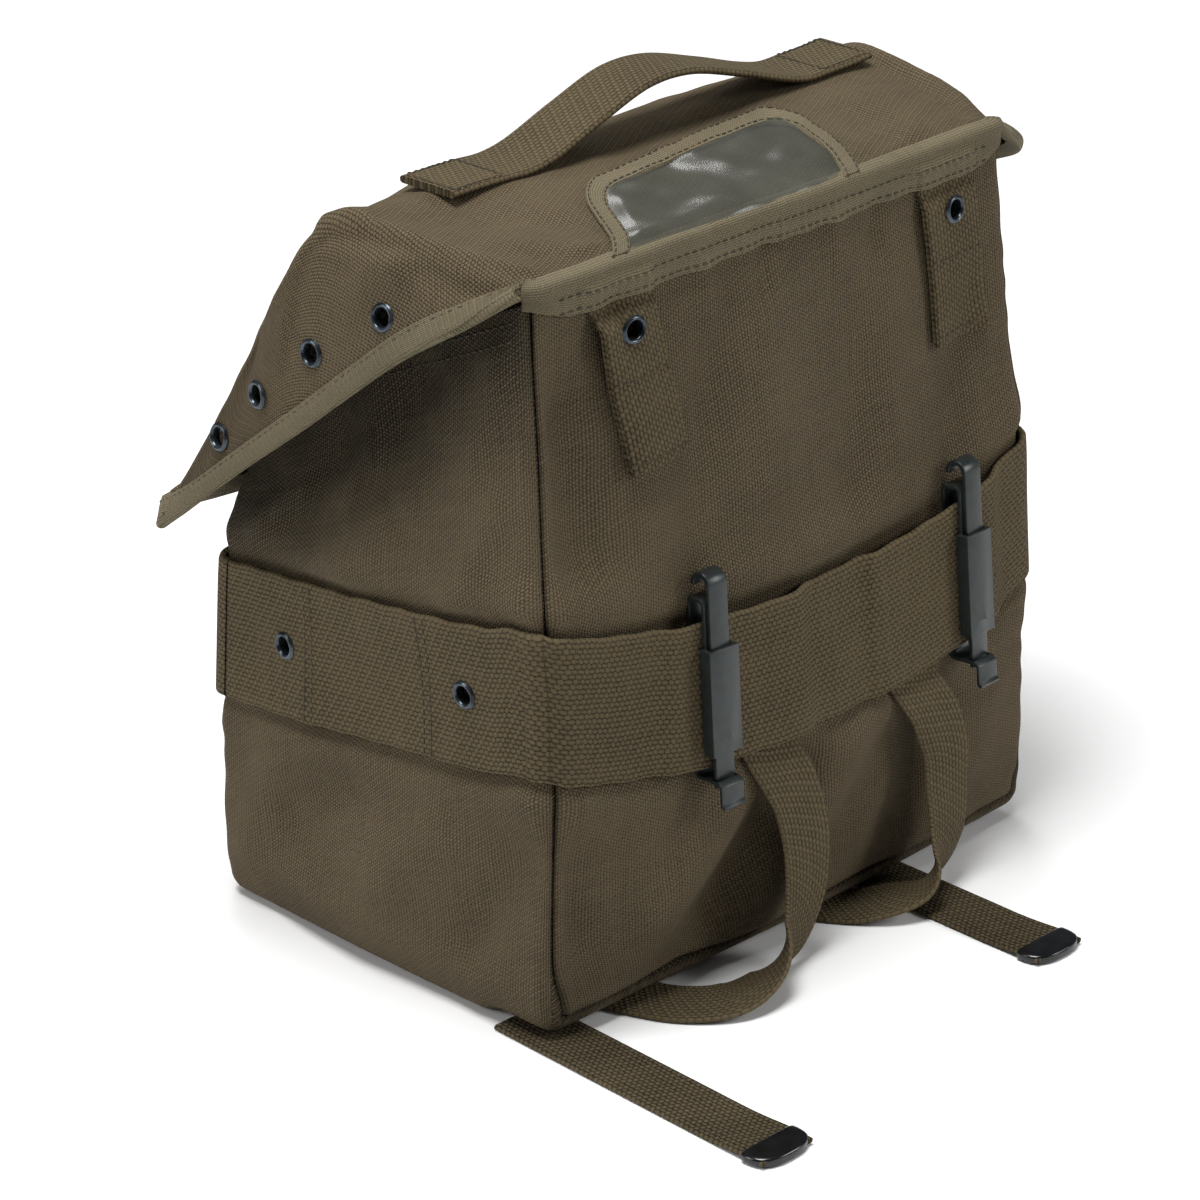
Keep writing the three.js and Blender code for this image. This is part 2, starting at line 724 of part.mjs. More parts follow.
function bandPath() {
  const inX = halfWidth - cornerRadius;
  const inY = halfDepth - cornerRadius;
  const path = [];
  for (const x of between(-inX, inX, 20)) path.push([x, -halfDepth]);
  path.push([halfWidth - cornerRadius / 2, -halfDepth], [halfWidth, -halfDepth]);
  path.push([halfWidth, cornerRadius / 2 - halfDepth]);
  for (const y of between(-inY, inY, 6)) path.push([halfWidth, y]);
  path.push([halfWidth, halfDepth - cornerRadius / 2], [halfWidth, halfDepth]);
  path.push([halfWidth - cornerRadius / 2, halfDepth]);
  for (const x of between(inX, -inX, 8)) path.push([x, halfDepth]);
  path.push([cornerRadius / 2 - halfWidth, halfDepth], [-halfWidth, halfDepth]);
  path.push([-halfWidth, halfDepth - cornerRadius / 2]);
  for (const y of between(inY, -inY, 6)) path.push([-halfWidth, y]);
  path.push([-halfWidth, cornerRadius / 2 - halfDepth], [-halfWidth, -halfDepth]);
  path.push([cornerRadius / 2 - halfWidth, -halfDepth]);
  return path;
}

function bandPoint(x, y, up, offset) {
  const z = bandMiddle(x, y) + (up * bandWidth) / 2;
  return bodyPoint(x, y, z, bandStandoff(x, y) + offset);
}

function bandEyeletSeats(side) {
  const sideBand = (y, up, offset) => bandPoint(side * halfWidth, y, up, bandThickness / 2 + offset);
  return [-0.58 * halfDepth, 0.50 * halfDepth].map((y) => seatOn(sideBand, y, 0.02));
}

function makeBand() {
  const sections = bandPath().map(([x, y]) => {
    const outer = [-1, -0.33, 0.33, 1].map((up) => bandPoint(x, y, up, bandThickness));
    const inner = [1, 0.33, -0.33, -1].map((up) => bandPoint(x, y, up, 0));
    return [...outer, ...inner];
  });
  const loop = sweep(sections, channelCap, true);
  return cut(loop, [-1, 1].flatMap((side) => eyeletHoles(bandEyeletSeats(side))));
}

// Doubled tabs that hang from the seam on the back panel.
function tabPoint(tab, up, across, offset) {
  const x = halfWidth * THREE.MathUtils.lerp(tab.low, tab.high, up) + (across * tabWidth) / 2;
  const z = backHeight - tapeDepth * 0.4 - tabLength * (1 - up);
  const overTape = (tapeWall + clearance) * ease((up - 0.35) * 2);
  const lift = overTape + tab.standoff * ease((up - 0.2) * 1.6) * ease(0.7 - across * 0.7);
  return bodyPoint(x, -halfDepth, z, clearance + lift + offset);
}

function tabEyeletSeat(tab) {
  const middle = (up, across, offset) => tabPoint(tab, up, across, tabThickness / 2 + offset);
  return seatOn(middle, 0.76, 0);
}

function makeTab(tab) {
  const pointAt = (up, across, offset) => tabPoint(tab, up, across, offset);
  const cloths = sheet(between(0, 1, 8), [-1, -0.4, 0.4, 1], pointAt, 0, tabThickness);
  return cut(cloths, eyeletHoles([tabEyeletSeat(tab)]));
}

// Loop of webbing: sewn behind the band, hanging free, then under the bag's foot.
function makeLoop(centre, route, end) {
  const behind = 2 * clearance + strapThickness / 2;
  const hang = bandHeight - bandWidth / 2;
  const top = [bandHeight + bandWidth * 0.18, bandHeight - bandWidth * 0.1, hang + 4].map((z) => {
    const side = strapWidth / 2;
    const left = bodyPoint(centre * halfWidth - side, -halfDepth, z, behind);
    const right = bodyPoint(centre * halfWidth + side, -halfDepth, z, behind);
    return { place: bodyPoint(centre * halfWidth, -halfDepth, z, behind), across: right.sub(left).normalize() };
  });
  const back = bodyPoint(0, -halfDepth, hang).y;
  const middle = route.map(({ along, out, up, across }) => ({
    place: new THREE.Vector3(along * halfWidth, back - out * tabWidth, up * bandHeight),
    across: new THREE.Vector3(...across),
  }));
  const foot = [
    { place: [end[0] * halfWidth, 7 - halfDepth], across: [0.72, 0.69, 0] },
    { place: [end[1] * halfWidth, reliefLength - 11 - halfDepth], across: [0.86, 0.50, 0] },
  ].map(({ place: [x, y], across }) => ({
    place: new THREE.Vector3(x, y, strapThickness / 2 + footRoom),
    across: new THREE.Vector3(...across),
  }));
  return ribbon([...top, ...middle, ...foot], strapWidth, strapThickness);
}

const straps = {
  near: { root: -0.925, end: -0.950, reach: nearStrapReach },
  far: { root: 0.384, end: 0.374, reach: farStrapReach },
};
const tipGap = tipWall + clearance;

function strapEnd(strap) {
  return new THREE.Vector3(strap.end * halfWidth, tipGap - halfDepth - strap.reach, 0);
}

// Strap that lies on the ground from under the bag's foot to its metal tip.
function makeStrap(strap) {
  const end = strapEnd(strap);
  const flat = strapThickness / 2;
  const root = reliefLength - 11 - halfDepth;
  const lie = (y, rise) => {
    const x = THREE.MathUtils.mapLinear(y, root, end.y, strap.root, strap.end) * halfWidth;
    const middle = new THREE.Vector3(x, y, flat + rise);
    return [[1, 1], [-1, 1], [-1, -1], [1, -1]].map(([across, up]) =>
      middle.clone().add(new THREE.Vector3((across * strapWidth) / 2, 0, up * flat)));
  };
  return sweep([
    lie(root, 0),
    lie(-halfDepth, 0),
    lie((end.y - halfDepth) / 2, 0),
    lie(end.y + tipLength * 2.6, 0),
    lie(end.y + tipLength * 1.8, tipGap * 0.4),
    lie(end.y + tipLength, tipGap),
    lie(end.y, tipGap),
  ], rectangleCap);
}

// Pressed metal sleeve, closed at its far end, over the end of a strap.
function makeTip(strap) {
  const end = strapEnd(strap);
  const inside = new THREE.BoxGeometry(strapWidth + clearance * 2, tipLength, strapThickness + clearance * 2);
  const height = strapThickness + 2 * tipGap;
  const outside = new THREE.BoxGeometry(strapWidth + 2 * tipGap, tipLength, height);
  outside.translate(end.x, end.y + tipLength / 2 - tipGap, height / 2);
  inside.translate(end.x, end.y + tipLength / 2 - clearance, height / 2);
  return cut(outside, [inside]);
}

// Bent strip: an outline of middle points in the plane (out, up), extruded across.
function bentStrip(points, metal, width) {
  const left = [];
  const right = [];
  points.forEach((point, i) => {
    const before = points[Math.max(0, i - 1)];
    const after = points[Math.min(points.length - 1, i + 1)];
    const first = point.clone().sub(before).normalize();
    const second = after.clone().sub(point).normalize();
    const run = first.add(second).normalize();
    const turn = Math.max(0.5, Math.abs(run.dot(i === 0 ? second : point.clone().sub(before).normalize())));
    const side = new THREE.Vector2(-run.y, run.x).multiplyScalar(metal / 2 / turn);
    left.push(point.clone().add(side));
    right.unshift(point.clone().sub(side));
  });
  const outline = new THREE.Shape([...left, ...right]);
  const strip = new THREE.ExtrudeGeometry(outline, { depth: width, bevelEnabled: false });
  strip.translate(0, 0, -width / 2);
  const swap = new THREE.Matrix4().makeBasis(
    new THREE.Vector3(0, 0, 1), new THREE.Vector3(0, 1, 0), new THREE.Vector3(1, 0, 0),
  );
  return strip.applyMatrix4(swap.multiply(new THREE.Matrix4().makeScale(1, 1, -1)));
}

function block(width, height, depth, up, out) {
  return new THREE.BoxGeometry(width, height, depth).translate(0, up, out);
}

// Distances out from the back panel at a keeper: leg, band, channel and bar.
const legOut = 0.45 + keeperMetal / 2;
const bandOut = clearance + bandLift + bandThickness;
const frontOut = bandOut + 2.5 * clearance + keeperMetal / 2;
const barOut = frontOut + keeperMetal / 2 + clearance + barMetal / 2;
const barSlot = { width: barWidth + 2 * clearance, metal: barMetal + 2 * clearance };
const legTop = bandWidth / 2 + 5;
const shelfUp = -legTop;
const channelTop = bandWidth / 2 - 9;

function makeKeeperFrame() {
  const frame = bentStrip([
    new THREE.Vector2(frontOut, channelTop - channelLength * 0.5),
    new THREE.Vector2(frontOut, legTop - 1),
    new THREE.Vector2(frontOut - 1, legTop),
    new THREE.Vector2(legOut + 1, legTop),
    new THREE.Vector2(legOut, legTop - 1),
    new THREE.Vector2(legOut, shelfUp + 1),
    new THREE.Vector2(legOut + 1, shelfUp),
    new THREE.Vector2(barOut + 1.8, shelfUp),
    new THREE.Vector2(barOut + 2.8, shelfUp - 1),
    new THREE.Vector2(barOut + 2.8, -keeperLength / 2 + 1.4),
    new THREE.Vector2(barOut + 4, -keeperLength / 2 + 0.4),
  ], keeperMetal, keeperWidth);
  const channelUp = channelTop - channelLength / 2;
  const depth = barSlot.metal + 2 * keeperMetal;
  const channel = block(channelWidth, channelLength, depth, channelUp, barOut);
  const catchTab = new THREE.ConeGeometry(2, 7, 3).rotateY(Math.PI / 6);
  catchTab.scale(1, 1, 0.6).translate(0, channelTop - channelLength * 0.75, barOut + depth / 2);
  const groove = block(barSlot.width, channelLength * 3, barSlot.metal, shelfUp + channelLength, barOut);
  const relief = block(barSlot.width, 8, barSlot.metal, shelfUp, barOut);
  return cut(join([frame, channel, catchTab]), [groove, relief]);
}

function makeKeeperBar() {
  const curl = 3.1;
  const top = keeperLength / 2 - curl;
  const points = [new THREE.Vector2(barOut, shelfUp - 2), new THREE.Vector2(barOut, top)];
  for (const angle of between(30, 190, 6).map(THREE.MathUtils.degToRad)) {
    points.push(new THREE.Vector2(barOut - curl + curl * Math.cos(angle), top + curl * Math.sin(angle)));
  }
  return bentStrip(points, barMetal, barWidth);
}

// A keeper sits upright on the back panel, turned to face straight out of it.
function addKeeper(name, centre) {
  const x = centre * halfWidth;
  const seat = new THREE.Group();
  const place = bodyPoint(x, -halfDepth, keeperMiddle);
  const rise = bandWidth / 2;
  const up = bodyPoint(x, -halfDepth, keeperMiddle + rise).sub(bodyPoint(x, -halfDepth, keeperMiddle - rise));
  const side = bodyPoint(x + channelWidth, -halfDepth, keeperMiddle);
  side.sub(bodyPoint(x - channelWidth, -halfDepth, keeperMiddle)).normalize();
  up.addScaledVector(side, -up.dot(side)).normalize();
  const outward = new THREE.Vector3().crossVectors(side, up);
  seat.applyMatrix4(new THREE.Matrix4().makeBasis(side, up, outward).setPosition(place));
  bag.add(seat);
  seat.add(addPiece(`${name}_frame`, makeKeeperFrame(), colours.metal, 0.45, 0.9));
  seat.add(addPiece(`${name}_bar`, makeKeeperBar(), colours.metal, 0.4, 0.9));
}

const keeperMiddle = bandHeight * 1.045;

addPiece("gusset", makeGusset(), colours.canvas);
addPiece("back_panel", makePanel(-halfDepth), colours.canvas);
addPiece("front_panel", makePanel(halfDepth), colours.canvas);
addPiece("lid", makeLid(), colours.canvas);
addPiece("lid_tape", makeLidTape(), colours.tape);
addPiece("seam_tape", makeSeamTape(), colours.tape);
addPiece("window", makeWindow(), colours.vinyl, 0.15);
addPiece("window_tape", makeWindowTape(), colours.tape);
addPiece("handle", makeHandle(), colours.webbing);
addPiece("band", makeBand(), colours.webbing);

const tabs = {
  near: { high: -0.665, low: -0.560, standoff: 3.2 },
  far: { high: 0.700, low: 0.735, standoff: 1.0 },
};
for (const [name, tab] of Object.entries(tabs)) {
  addPiece(`tab_${name}`, makeTab(tab), colours.webbing);
  addEyelets(`tab_${name}_eyelet`, [tabEyeletSeat(tab)], tabThickness);
}
addPiece("loop_near", makeLoop(loopCentres.near, nearLoopRoute, [-0.640, -0.665]), colours.webbing);
addPiece("loop_far", makeLoop(loopCentres.far, farLoopRoute, [0.110, 0.075]), colours.webbing);
for (const [name, strap] of Object.entries(straps)) {
  addPiece(`strap_${name}`, makeStrap(strap), colours.webbing);
  addPiece(`strap_tip_${name}`, makeTip(strap), colours.tip, 0.25, 0.6);
}
addEyelets("lid_eyelet_left", lidEyeletSeats(-1), lidThickness);
addEyelets("lid_eyelet_right", lidEyeletSeats(1), lidThickness);
addEyelets("band_eyelet_left", bandEyeletSeats(-1), bandThickness);
addEyelets("band_eyelet_right", bandEyeletSeats(1), bandThickness);
addKeeper("keeper_near", keeperCentres.near);
addKeeper("keeper_far", keeperCentres.far);

export default bag;
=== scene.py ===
# %% [markdown]
# # A canvas belt bag
# The bag is an olive canvas box with a folded lid. A wide webbing band runs round it, and two
# metal slide keepers hold it on a belt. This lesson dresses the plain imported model: the frame is
# loaded first, and every later piece takes the place of one of its solids.

import bpy
import bmesh
import math
import numpy as np
from mathutils import Matrix, Vector


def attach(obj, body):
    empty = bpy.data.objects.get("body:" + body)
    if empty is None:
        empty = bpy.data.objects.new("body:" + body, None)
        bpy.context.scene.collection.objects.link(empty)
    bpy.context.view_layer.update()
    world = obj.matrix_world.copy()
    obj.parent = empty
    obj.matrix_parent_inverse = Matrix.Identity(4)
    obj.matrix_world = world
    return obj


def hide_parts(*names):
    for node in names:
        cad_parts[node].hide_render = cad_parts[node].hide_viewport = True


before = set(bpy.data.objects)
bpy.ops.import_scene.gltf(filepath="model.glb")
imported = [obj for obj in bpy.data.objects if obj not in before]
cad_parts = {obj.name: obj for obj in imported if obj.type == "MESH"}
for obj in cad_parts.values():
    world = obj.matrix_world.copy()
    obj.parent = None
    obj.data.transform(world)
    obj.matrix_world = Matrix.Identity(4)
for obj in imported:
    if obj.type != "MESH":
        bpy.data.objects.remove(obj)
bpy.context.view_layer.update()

# %% [markdown]
# The camera stands where the photographer's did: well back with a long lens, a little above the
# bag, looking at the corner between a side and the belt face. It is placed from three angles and
# a distance, because those are the numbers that a real tripod has.

# %% Camera
AZIMUTH, ELEVATION, ROLL = (math.radians(angle) for angle in (-44.295, 24.363, -1.140))
CAMERA_DISTANCE = 1.33327
LENS, SENSOR_WIDTH, FAR_CLIP = 133.894, 36.0, 20.0
AIM_ACROSS, AIM_HEIGHT = -0.0079068, 0.0843665

right = Vector((math.cos(AZIMUTH), math.sin(AZIMUTH), 0))
back = Vector((
    math.sin(AZIMUTH) * math.cos(ELEVATION),
    -math.cos(AZIMUTH) * math.cos(ELEVATION),
    math.sin(ELEVATION),
))
up = back.cross(right)
leaning_right = right * math.cos(ROLL) + up * math.sin(ROLL)
leaning_up = up * math.cos(ROLL) - right * math.sin(ROLL)
lens = bpy.data.cameras.new("camera")
lens.lens, lens.sensor_width, lens.clip_end = LENS, SENSOR_WIDTH, FAR_CLIP
camera = bpy.data.objects.new("camera", lens)
bpy.context.collection.objects.link(camera)
place = right * AIM_ACROSS + Vector((0, 0, AIM_HEIGHT)) + back * CAMERA_DISTANCE
turn = Matrix((leaning_right, leaning_up, back)).transposed()
camera.matrix_world = Matrix.Translation(place) @ turn.to_4x4()
bpy.context.scene.camera = camera
print("camera at", [round(value, 3) for value in place])

# %% [markdown]
# Soft studio light: a large box overhead, one from the left for the side, one from the right for
# the belt face, and a weaker one behind that draws the lid's edge. A pale floor throws some light
# back up, and the Standard view transform keeps it white, as in the photo.

# %% Floor and lights
def linear(hex_colour):
    """An sRGB hex colour as the linear values that a shader takes."""
    parts = [int(hex_colour[i:i + 2], 16) / 255 for i in (1, 3, 5)]
    return (*[c / 12.92 if c <= 0.04045 else ((c + 0.055) / 1.055) ** 2.4 for c in parts], 1.0)


def soft_box(name, watts, size, place, aim):
    light = bpy.data.lights.new(name, "AREA")
    light.energy, light.shape, light.size, light.size_y = watts, "RECTANGLE", size[0], size[1]
    lamp = bpy.data.objects.new(name, light)
    lamp.location = place
    lamp.rotation_euler = (Vector(place) - Vector(aim)).to_track_quat("Z", "Y").to_euler()
    bpy.context.collection.objects.link(lamp)


soft_box("overhead_box", 46, (0.9, 0.9), (-0.35, 0.0, 2.0), (0, 0, 0.10))
soft_box("left_box", 17, (0.7, 0.9), (-1.8, 0.9, 1.1), (0, 0, 0.08))
soft_box("right_box", 20, (0.7, 0.9), (1.25, -1.7, 1.1), (0, 0, 0.08))
soft_box("rear_box", 9, (0.7, 0.5), (0.95, 1.35, 1.5), (0, 0, 0.20))

world = bpy.data.worlds.new("studio")
world.use_nodes = True
world.node_tree.nodes["Background"].inputs["Color"].default_value = linear("#f4f5f6")
world.node_tree.nodes["Background"].inputs["Strength"].default_value = 0.10
bpy.context.scene.view_settings.view_transform = "Standard"
bpy.context.scene.world = world

FLOOR_HALF = 6
floor_corners = [(x * FLOOR_HALF, y * FLOOR_HALF, 0) for x, y in ((-1, -1), (1, -1), (1, 1), (-1, 1))]
floor_mesh = bpy.data.meshes.new("floor")
floor_mesh.from_pydata(floor_corners, [], [(0, 1, 2, 3)])
floor = bpy.data.objects.new("floor", floor_mesh)
bpy.context.collection.objects.link(floor)

# %% [markdown]
# One small helper adds a node with its settings and links, so that each material below reads as a
# short list of what the finish is made of.

# %% Node helper
def add(tree, kind, inputs=None, **settings):
    """Add a node: settings are its properties, inputs are values or sockets by name or number."""
    node = tree.nodes.new(kind)
    for key, value in settings.items():
        setattr(node, key, value)
    for key, value in (inputs or {}).items():
        socket = node.inputs[key]
        if isinstance(value, bpy.types.NodeSocket):
            tree.links.new(value, socket)
        else:
            socket.default_value = value
    return node


def new_material(name):
    material = bpy.data.materials.new(name)
    material.use_nodes = True
    shader = material.node_tree.nodes["Principled BSDF"]
    return material, material.node_tree, shader


def math_node(tree, operation, first, second=0.0, third=0.0):
    return add(tree, "ShaderNodeMath", {0: first, 1: second, 2: third}, operation=operation).outputs[0]


def noise(tree, place, scale, detail):
    return add(tree, "ShaderNodeTexNoise", {"Vector": place, "Scale": scale, "Detail": detail})


def ramp(tree, value, dark, pale, low=0.0, high=1.0):
    """A colour from dark to pale, while the value runs from low to high."""
    node = add(tree, "ShaderNodeValToRGB", {0: value})
    first, last = node.color_ramp.elements
    first.position, last.position = low, high
    first.color, last.color = linear(dark), linear(pale)
    return node.outputs[0]


def metres(values):
    """Millimetres as the metres that Blender works in."""
    return np.asarray(values, float) / 1000


print("helpers ready")

# %% [markdown]
# Cotton canvas and cotton webbing are both plain weaves, so one function makes both. It reads the
# cloth's own UV map, which holds real metres along and across the threads. Two sines of the
# thread count give the round threads, and their crossings alternate over and under. Every thread
# also has its own tone and thickness, because cotton yarn is never even, and dye wears off where
# the cloth stands proud. A vertex attribute says where that wear is, and it also carries painted
# shade: darker under the lid's wing, on the seam lines and on the straps.

# %% Woven cotton
def woven(name, pale, dark, thread_mm, alternate, relief_mm, gap_depth, sheen):
    material, tree, shader = new_material(name)
    uv = add(tree, "ShaderNodeUVMap", uv_map="cloth").outputs[0]
    place = add(tree, "ShaderNodeTexCoord").outputs["Object"]
    wander = noise(tree, place, 190.0, 2.0).outputs["Color"]
    wander = add(tree, "ShaderNodeVectorMath", {0: wander, 1: (0.5, 0.5, 0.5)}, operation="SUBTRACT").outputs[0]
    wander = add(tree, "ShaderNodeVectorMath", {0: wander, "Scale": 0.00075}, operation="SCALE").outputs[0]
    uv = add(tree, "ShaderNodeVectorMath", {0: uv, 1: wander}, operation="ADD").outputs[0]
    counts = [1000.0 / thread_mm[0], 1000.0 / thread_mm[1], 1.0]
    threads = add(tree, "ShaderNodeVectorMath", {0: uv, 1: counts}, operation="MULTIPLY").outputs[0]
    split = add(tree, "ShaderNodeSeparateXYZ", {0: threads})
    across = split.outputs[1]
    # Each row of yarns lies half a yarn further along, so the gaps stagger like bricks.
    row_shift = math_node(tree, "MULTIPLY", math_node(tree, "FLOOR", across), 0.5)
    along = math_node(tree, "ADD", split.outputs[0], row_shift)

    def ridge(position):
        wave = math_node(tree, "SINE", math_node(tree, "MULTIPLY", position, math.pi))
        return math_node(tree, "ABSOLUTE", wave)

    warp, weft = ridge(along), ridge(across)
    both = math_node(tree, "ADD", math_node(tree, "FLOOR", along), math_node(tree, "FLOOR", across))
    over = math_node(tree, "FLOORED_MODULO", both, 2.0)
    high = math_node(tree, "MULTIPLY", warp, math_node(tree, "MULTIPLY_ADD", weft, 0.45, 0.55))
    low = math_node(tree, "MULTIPLY", weft, math_node(tree, "MULTIPLY_ADD", warp, 0.45, 0.55 - alternate))
    weave = add(tree, "ShaderNodeMix", {0: over, 2: low, 3: high}, data_type="FLOAT").outputs[0]
    # Where two gaps cross there is a hole between the yarns.
    beside_warp, beside_weft = (math_node(tree, "SUBTRACT", 1.0, yarns) for yarns in (warp, weft))
    gap = math_node(tree, "MULTIPLY", beside_warp, beside_weft)
    weave = math_node(tree, "SUBTRACT", weave, math_node(tree, "MULTIPLY", gap, 0.9))

    long_way, cross_way = (
        add(tree, "ShaderNodeVectorMath", {0: threads, 1: stretch}, operation="MULTIPLY").outputs[0]
        for stretch in ((0.045, 1.0, 1.0), (1.0, 0.045, 1.0)))
    yarn = math_node(
        tree, "ADD", noise(tree, long_way, 0.9, 2.0).outputs[0], noise(tree, cross_way, 0.9, 2.0).outputs[0])
    cloudy = {"Vector": place, "Scale": 26.0, "Detail": 4.0, "Roughness": 0.6}
    cloud = add(tree, "ShaderNodeTexNoise", cloudy).outputs[0]
    fuzz = noise(tree, place, 1500.0, 2.0).outputs[0]
    # This point value adds rubbed wear and painted shade (under the lid's wing, on the seam lines, on the
    # straps) to the tone.
    worn_and_shaded = add(tree, "ShaderNodeAttribute", attribute_name="wear_and_shade").outputs["Fac"]

    # Each part of the tone is a share of its pattern, less about that share's middle.
    tone = math_node(tree, "MULTIPLY_ADD", weave, gap_depth, 1.0 - gap_depth)
    shade = math_node(tree, "MULTIPLY_ADD", yarn, 0.26, -0.13)
    dapple = math_node(tree, "MULTIPLY_ADD", cloud, 0.5, -0.25)
    hair = math_node(tree, "MULTIPLY_ADD", fuzz, 0.16, -0.08)
    total = math_node(tree, "ADD", math_node(tree, "ADD", tone, shade), math_node(tree, "ADD", dapple, hair))
    total = math_node(tree, "ADD", total, worn_and_shaded)

    height = math_node(tree, "ADD", weave, math_node(tree, "MULTIPLY", fuzz, 0.35))
    height = math_node(tree, "ADD", height, math_node(tree, "MULTIPLY", yarn, 0.3))
    bump = add(tree, "ShaderNodeBump", {"Strength": 1.0, "Distance": relief_mm / 1000, "Height": height})
    tree.links.new(ramp(tree, total, dark, pale, 0.12, 1.0), shader.inputs["Base Color"])
    tree.links.new(bump.outputs[0], shader.inputs["Normal"])
    shader.inputs["Roughness"].default_value = 0.92
    shader.inputs["Specular IOR Level"].default_value = 0.18
    shader.inputs["Sheen Weight"].default_value = sheen
    shader.inputs["Sheen Roughness"].default_value = 0.45
    shader.inputs["Sheen Tint"].default_value = linear("#8f8468")
    return material


# Duck canvas: threads about 1 mm apart, as wide as they have to be to show in the render.
canvas = woven("cotton_duck_canvas", "#645844", "#100d08", (1.08, 1.00), 0.25, 0.30, 0.56, 0.04)
# Open cotton webbing: thick soft yarns about 2 mm apart with dark gaps between them.
webbing = woven("open_cotton_webbing", "#5c513c", "#0d0a05", (1.90, 1.50), 0.15, 0.36, 0.55, 0.04)
# Binding tape: fine twill, paler than the canvas.
twill = woven("cotton_twill_tape", "#736a55", "#1d190f", (1.05, 0.70), 0.15, 0.20, 0.45, 0.04)
print("woven:", canvas.name, webbing.name, twill.name)

# %% [markdown]
# The hard finishes. The keepers are pressed steel under a grey-green enamel, the eyelets are
# blackened brass, the strap tips are dipped in gloss black, and the window is clear vinyl that has
# gone slightly grey.

# %% Metal, gloss and vinyl
def enamelled(name, pale, dark, roughness, metallic, grain):
    material, tree, shader = new_material(name)
    place = add(tree, "ShaderNodeTexCoord").outputs["Object"]
    cloud = add(tree, "ShaderNodeTexNoise", {"Vector": place, "Scale": 240.0, "Detail": 5.0, "Roughness": 0.65})
    colour = ramp(tree, cloud.outputs[0], dark, pale, 0.32, 0.72)
    rough = math_node(tree, "MULTIPLY_ADD", cloud.outputs[0], 0.10, roughness - 0.05)
    fine = noise(tree, place, 1800.0, 2.0).outputs[0]
    bump = add(tree, "ShaderNodeBump", {"Strength": grain, "Distance": 0.00006, "Height": fine})
    tree.links.new(colour, shader.inputs["Base Color"])
    tree.links.new(rough, shader.inputs["Roughness"])
    tree.links.new(bump.outputs[0], shader.inputs["Normal"])
    shader.inputs["Metallic"].default_value = metallic
    return material


keeper_enamel = enamelled("grey_green_enamel_on_steel", "#303635", "#242828", 0.34, 0.25, 0.06)
black_brass = enamelled("blackened_brass", "#565f66", "#1c2124", 0.26, 0.80, 0.20)
gloss_black = enamelled("gloss_black_lacquer", "#15171a", "#0b0c0e", 0.20, 0.0, 0.15)


def clear_vinyl():
    material, tree, shader = new_material("clear_vinyl_sheet")
    place = add(tree, "ShaderNodeTexCoord").outputs["Object"]
    haze = noise(tree, place, 60.0, 3.0).outputs[0]
    slack = noise(tree, place, 45.0, 1.0).outputs[0]
    bump = add(tree, "ShaderNodeBump", {"Strength": 0.2, "Distance": 0.0006, "Height": slack})
    tree.links.new(ramp(tree, haze, "#40413c", "#666860"), shader.inputs["Base Color"])
    tree.links.new(bump.outputs[0], shader.inputs["Normal"])
    shader.inputs["Roughness"].default_value = 0.20
    shader.inputs["IOR"].default_value = 1.53
    shader.inputs["Alpha"].default_value = 0.36
    return material


vinyl = clear_vinyl()
paper, paper_tree, paper_shader = new_material("matt_studio_paper")
paper_shader.inputs["Base Color"].default_value = linear("#f6f6f6")
paper_shader.inputs["Roughness"].default_value = 0.9
floor_mesh.materials.append(paper)
print("finishes:", [material.name for material in bpy.data.materials])

# %% [markdown]
# The bag's shape follows a few short tables, the same as the solids': a section for each height,
# and a list of swells and dents. Working in millimetres keeps them readable. Everything below
# takes whole arrays of points, so thousands of them are placed at once.

# %% Bag sizes and tables
BAG_WIDTH, BAG_DEPTH, BACK_HEIGHT, FRONT_HEIGHT = 206.0, 140.0, 221.0, 164.0
HALF_WIDTH, HALF_DEPTH = BAG_WIDTH / 2, BAG_DEPTH / 2
CORNER = 7.0
CLOTH, CLEARANCE = 1.6, 0.35
STRAP_RELIEF, RELIEF_LENGTH, RELIEF_FADE = 2.4, 31.0, 8.0
BAND_WIDTH, BAND_THICKNESS, BAND_HEIGHT = 44.5, 2.2, 92.0
TAB_WIDTH, TAB_LENGTH, TAB_THICKNESS = 25.4, 53.0, 3.4
HANDLE_WIDTH, HANDLE_THICKNESS, HANDLE_RISE = 22.0, 2.2, 14.0
STRAP_WIDTH, STRAP_THICKNESS, FOOT_ROOM = 19.5, 1.7, 0.12
STRAP_REACH = {"near": 88.0, "far": 69.0}
TAPE_WALL, TAPE_DEPTH = 0.9, 7.0
TIP_LENGTH, TIP_WALL = 8.5, 0.5


def table(columns, rows):
    return {name: np.array([row[i] for row in rows], float) for i, name in enumerate(columns.split())}


BODY_SECTIONS = table("height width back front", [
    (0.00, 0.990, 0.998, 1.020),
    (0.10, 0.995, 1.006, 1.030),
    (0.30, 0.980, 1.012, 0.990),
    (0.48, 0.968, 1.008, 0.960),
    (0.58, 0.972, 0.990, 0.890),
    (0.75, 0.958, 0.945, 0.620),
    (1.00, 0.935, 0.895, 0.520),
])
BODY_FORMS = [
    dict(face="back", along=0.10, height=0.22, spread=0.75, rise=0.24, depth=0.050),
    dict(face="back", along=-0.15, height=0.68, spread=0.60, rise=0.20, depth=0.022),
    dict(face="back", along=-0.55, height=0.88, spread=0.20, rise=0.14, depth=-0.012),
    dict(face="front", along=0.00, height=0.30, spread=0.80, rise=0.26, depth=0.045),
    dict(face="left", along=0.05, height=0.20, spread=0.70, rise=0.18, depth=0.022),
    dict(face="left", along=-0.10, height=0.60, spread=0.60, rise=0.14, depth=0.030),
    dict(face="left", along=0.35, height=0.66, spread=0.20, rise=0.10, depth=-0.012),
    dict(face="right", along=0.00, height=0.26, spread=0.70, rise=0.22, depth=0.010),
    dict(face="right", along=0.00, height=0.62, spread=0.60, rise=0.16, depth=0.010),
]
print("body sections:", len(BODY_SECTIONS["height"]), "forms:", len(BODY_FORMS))

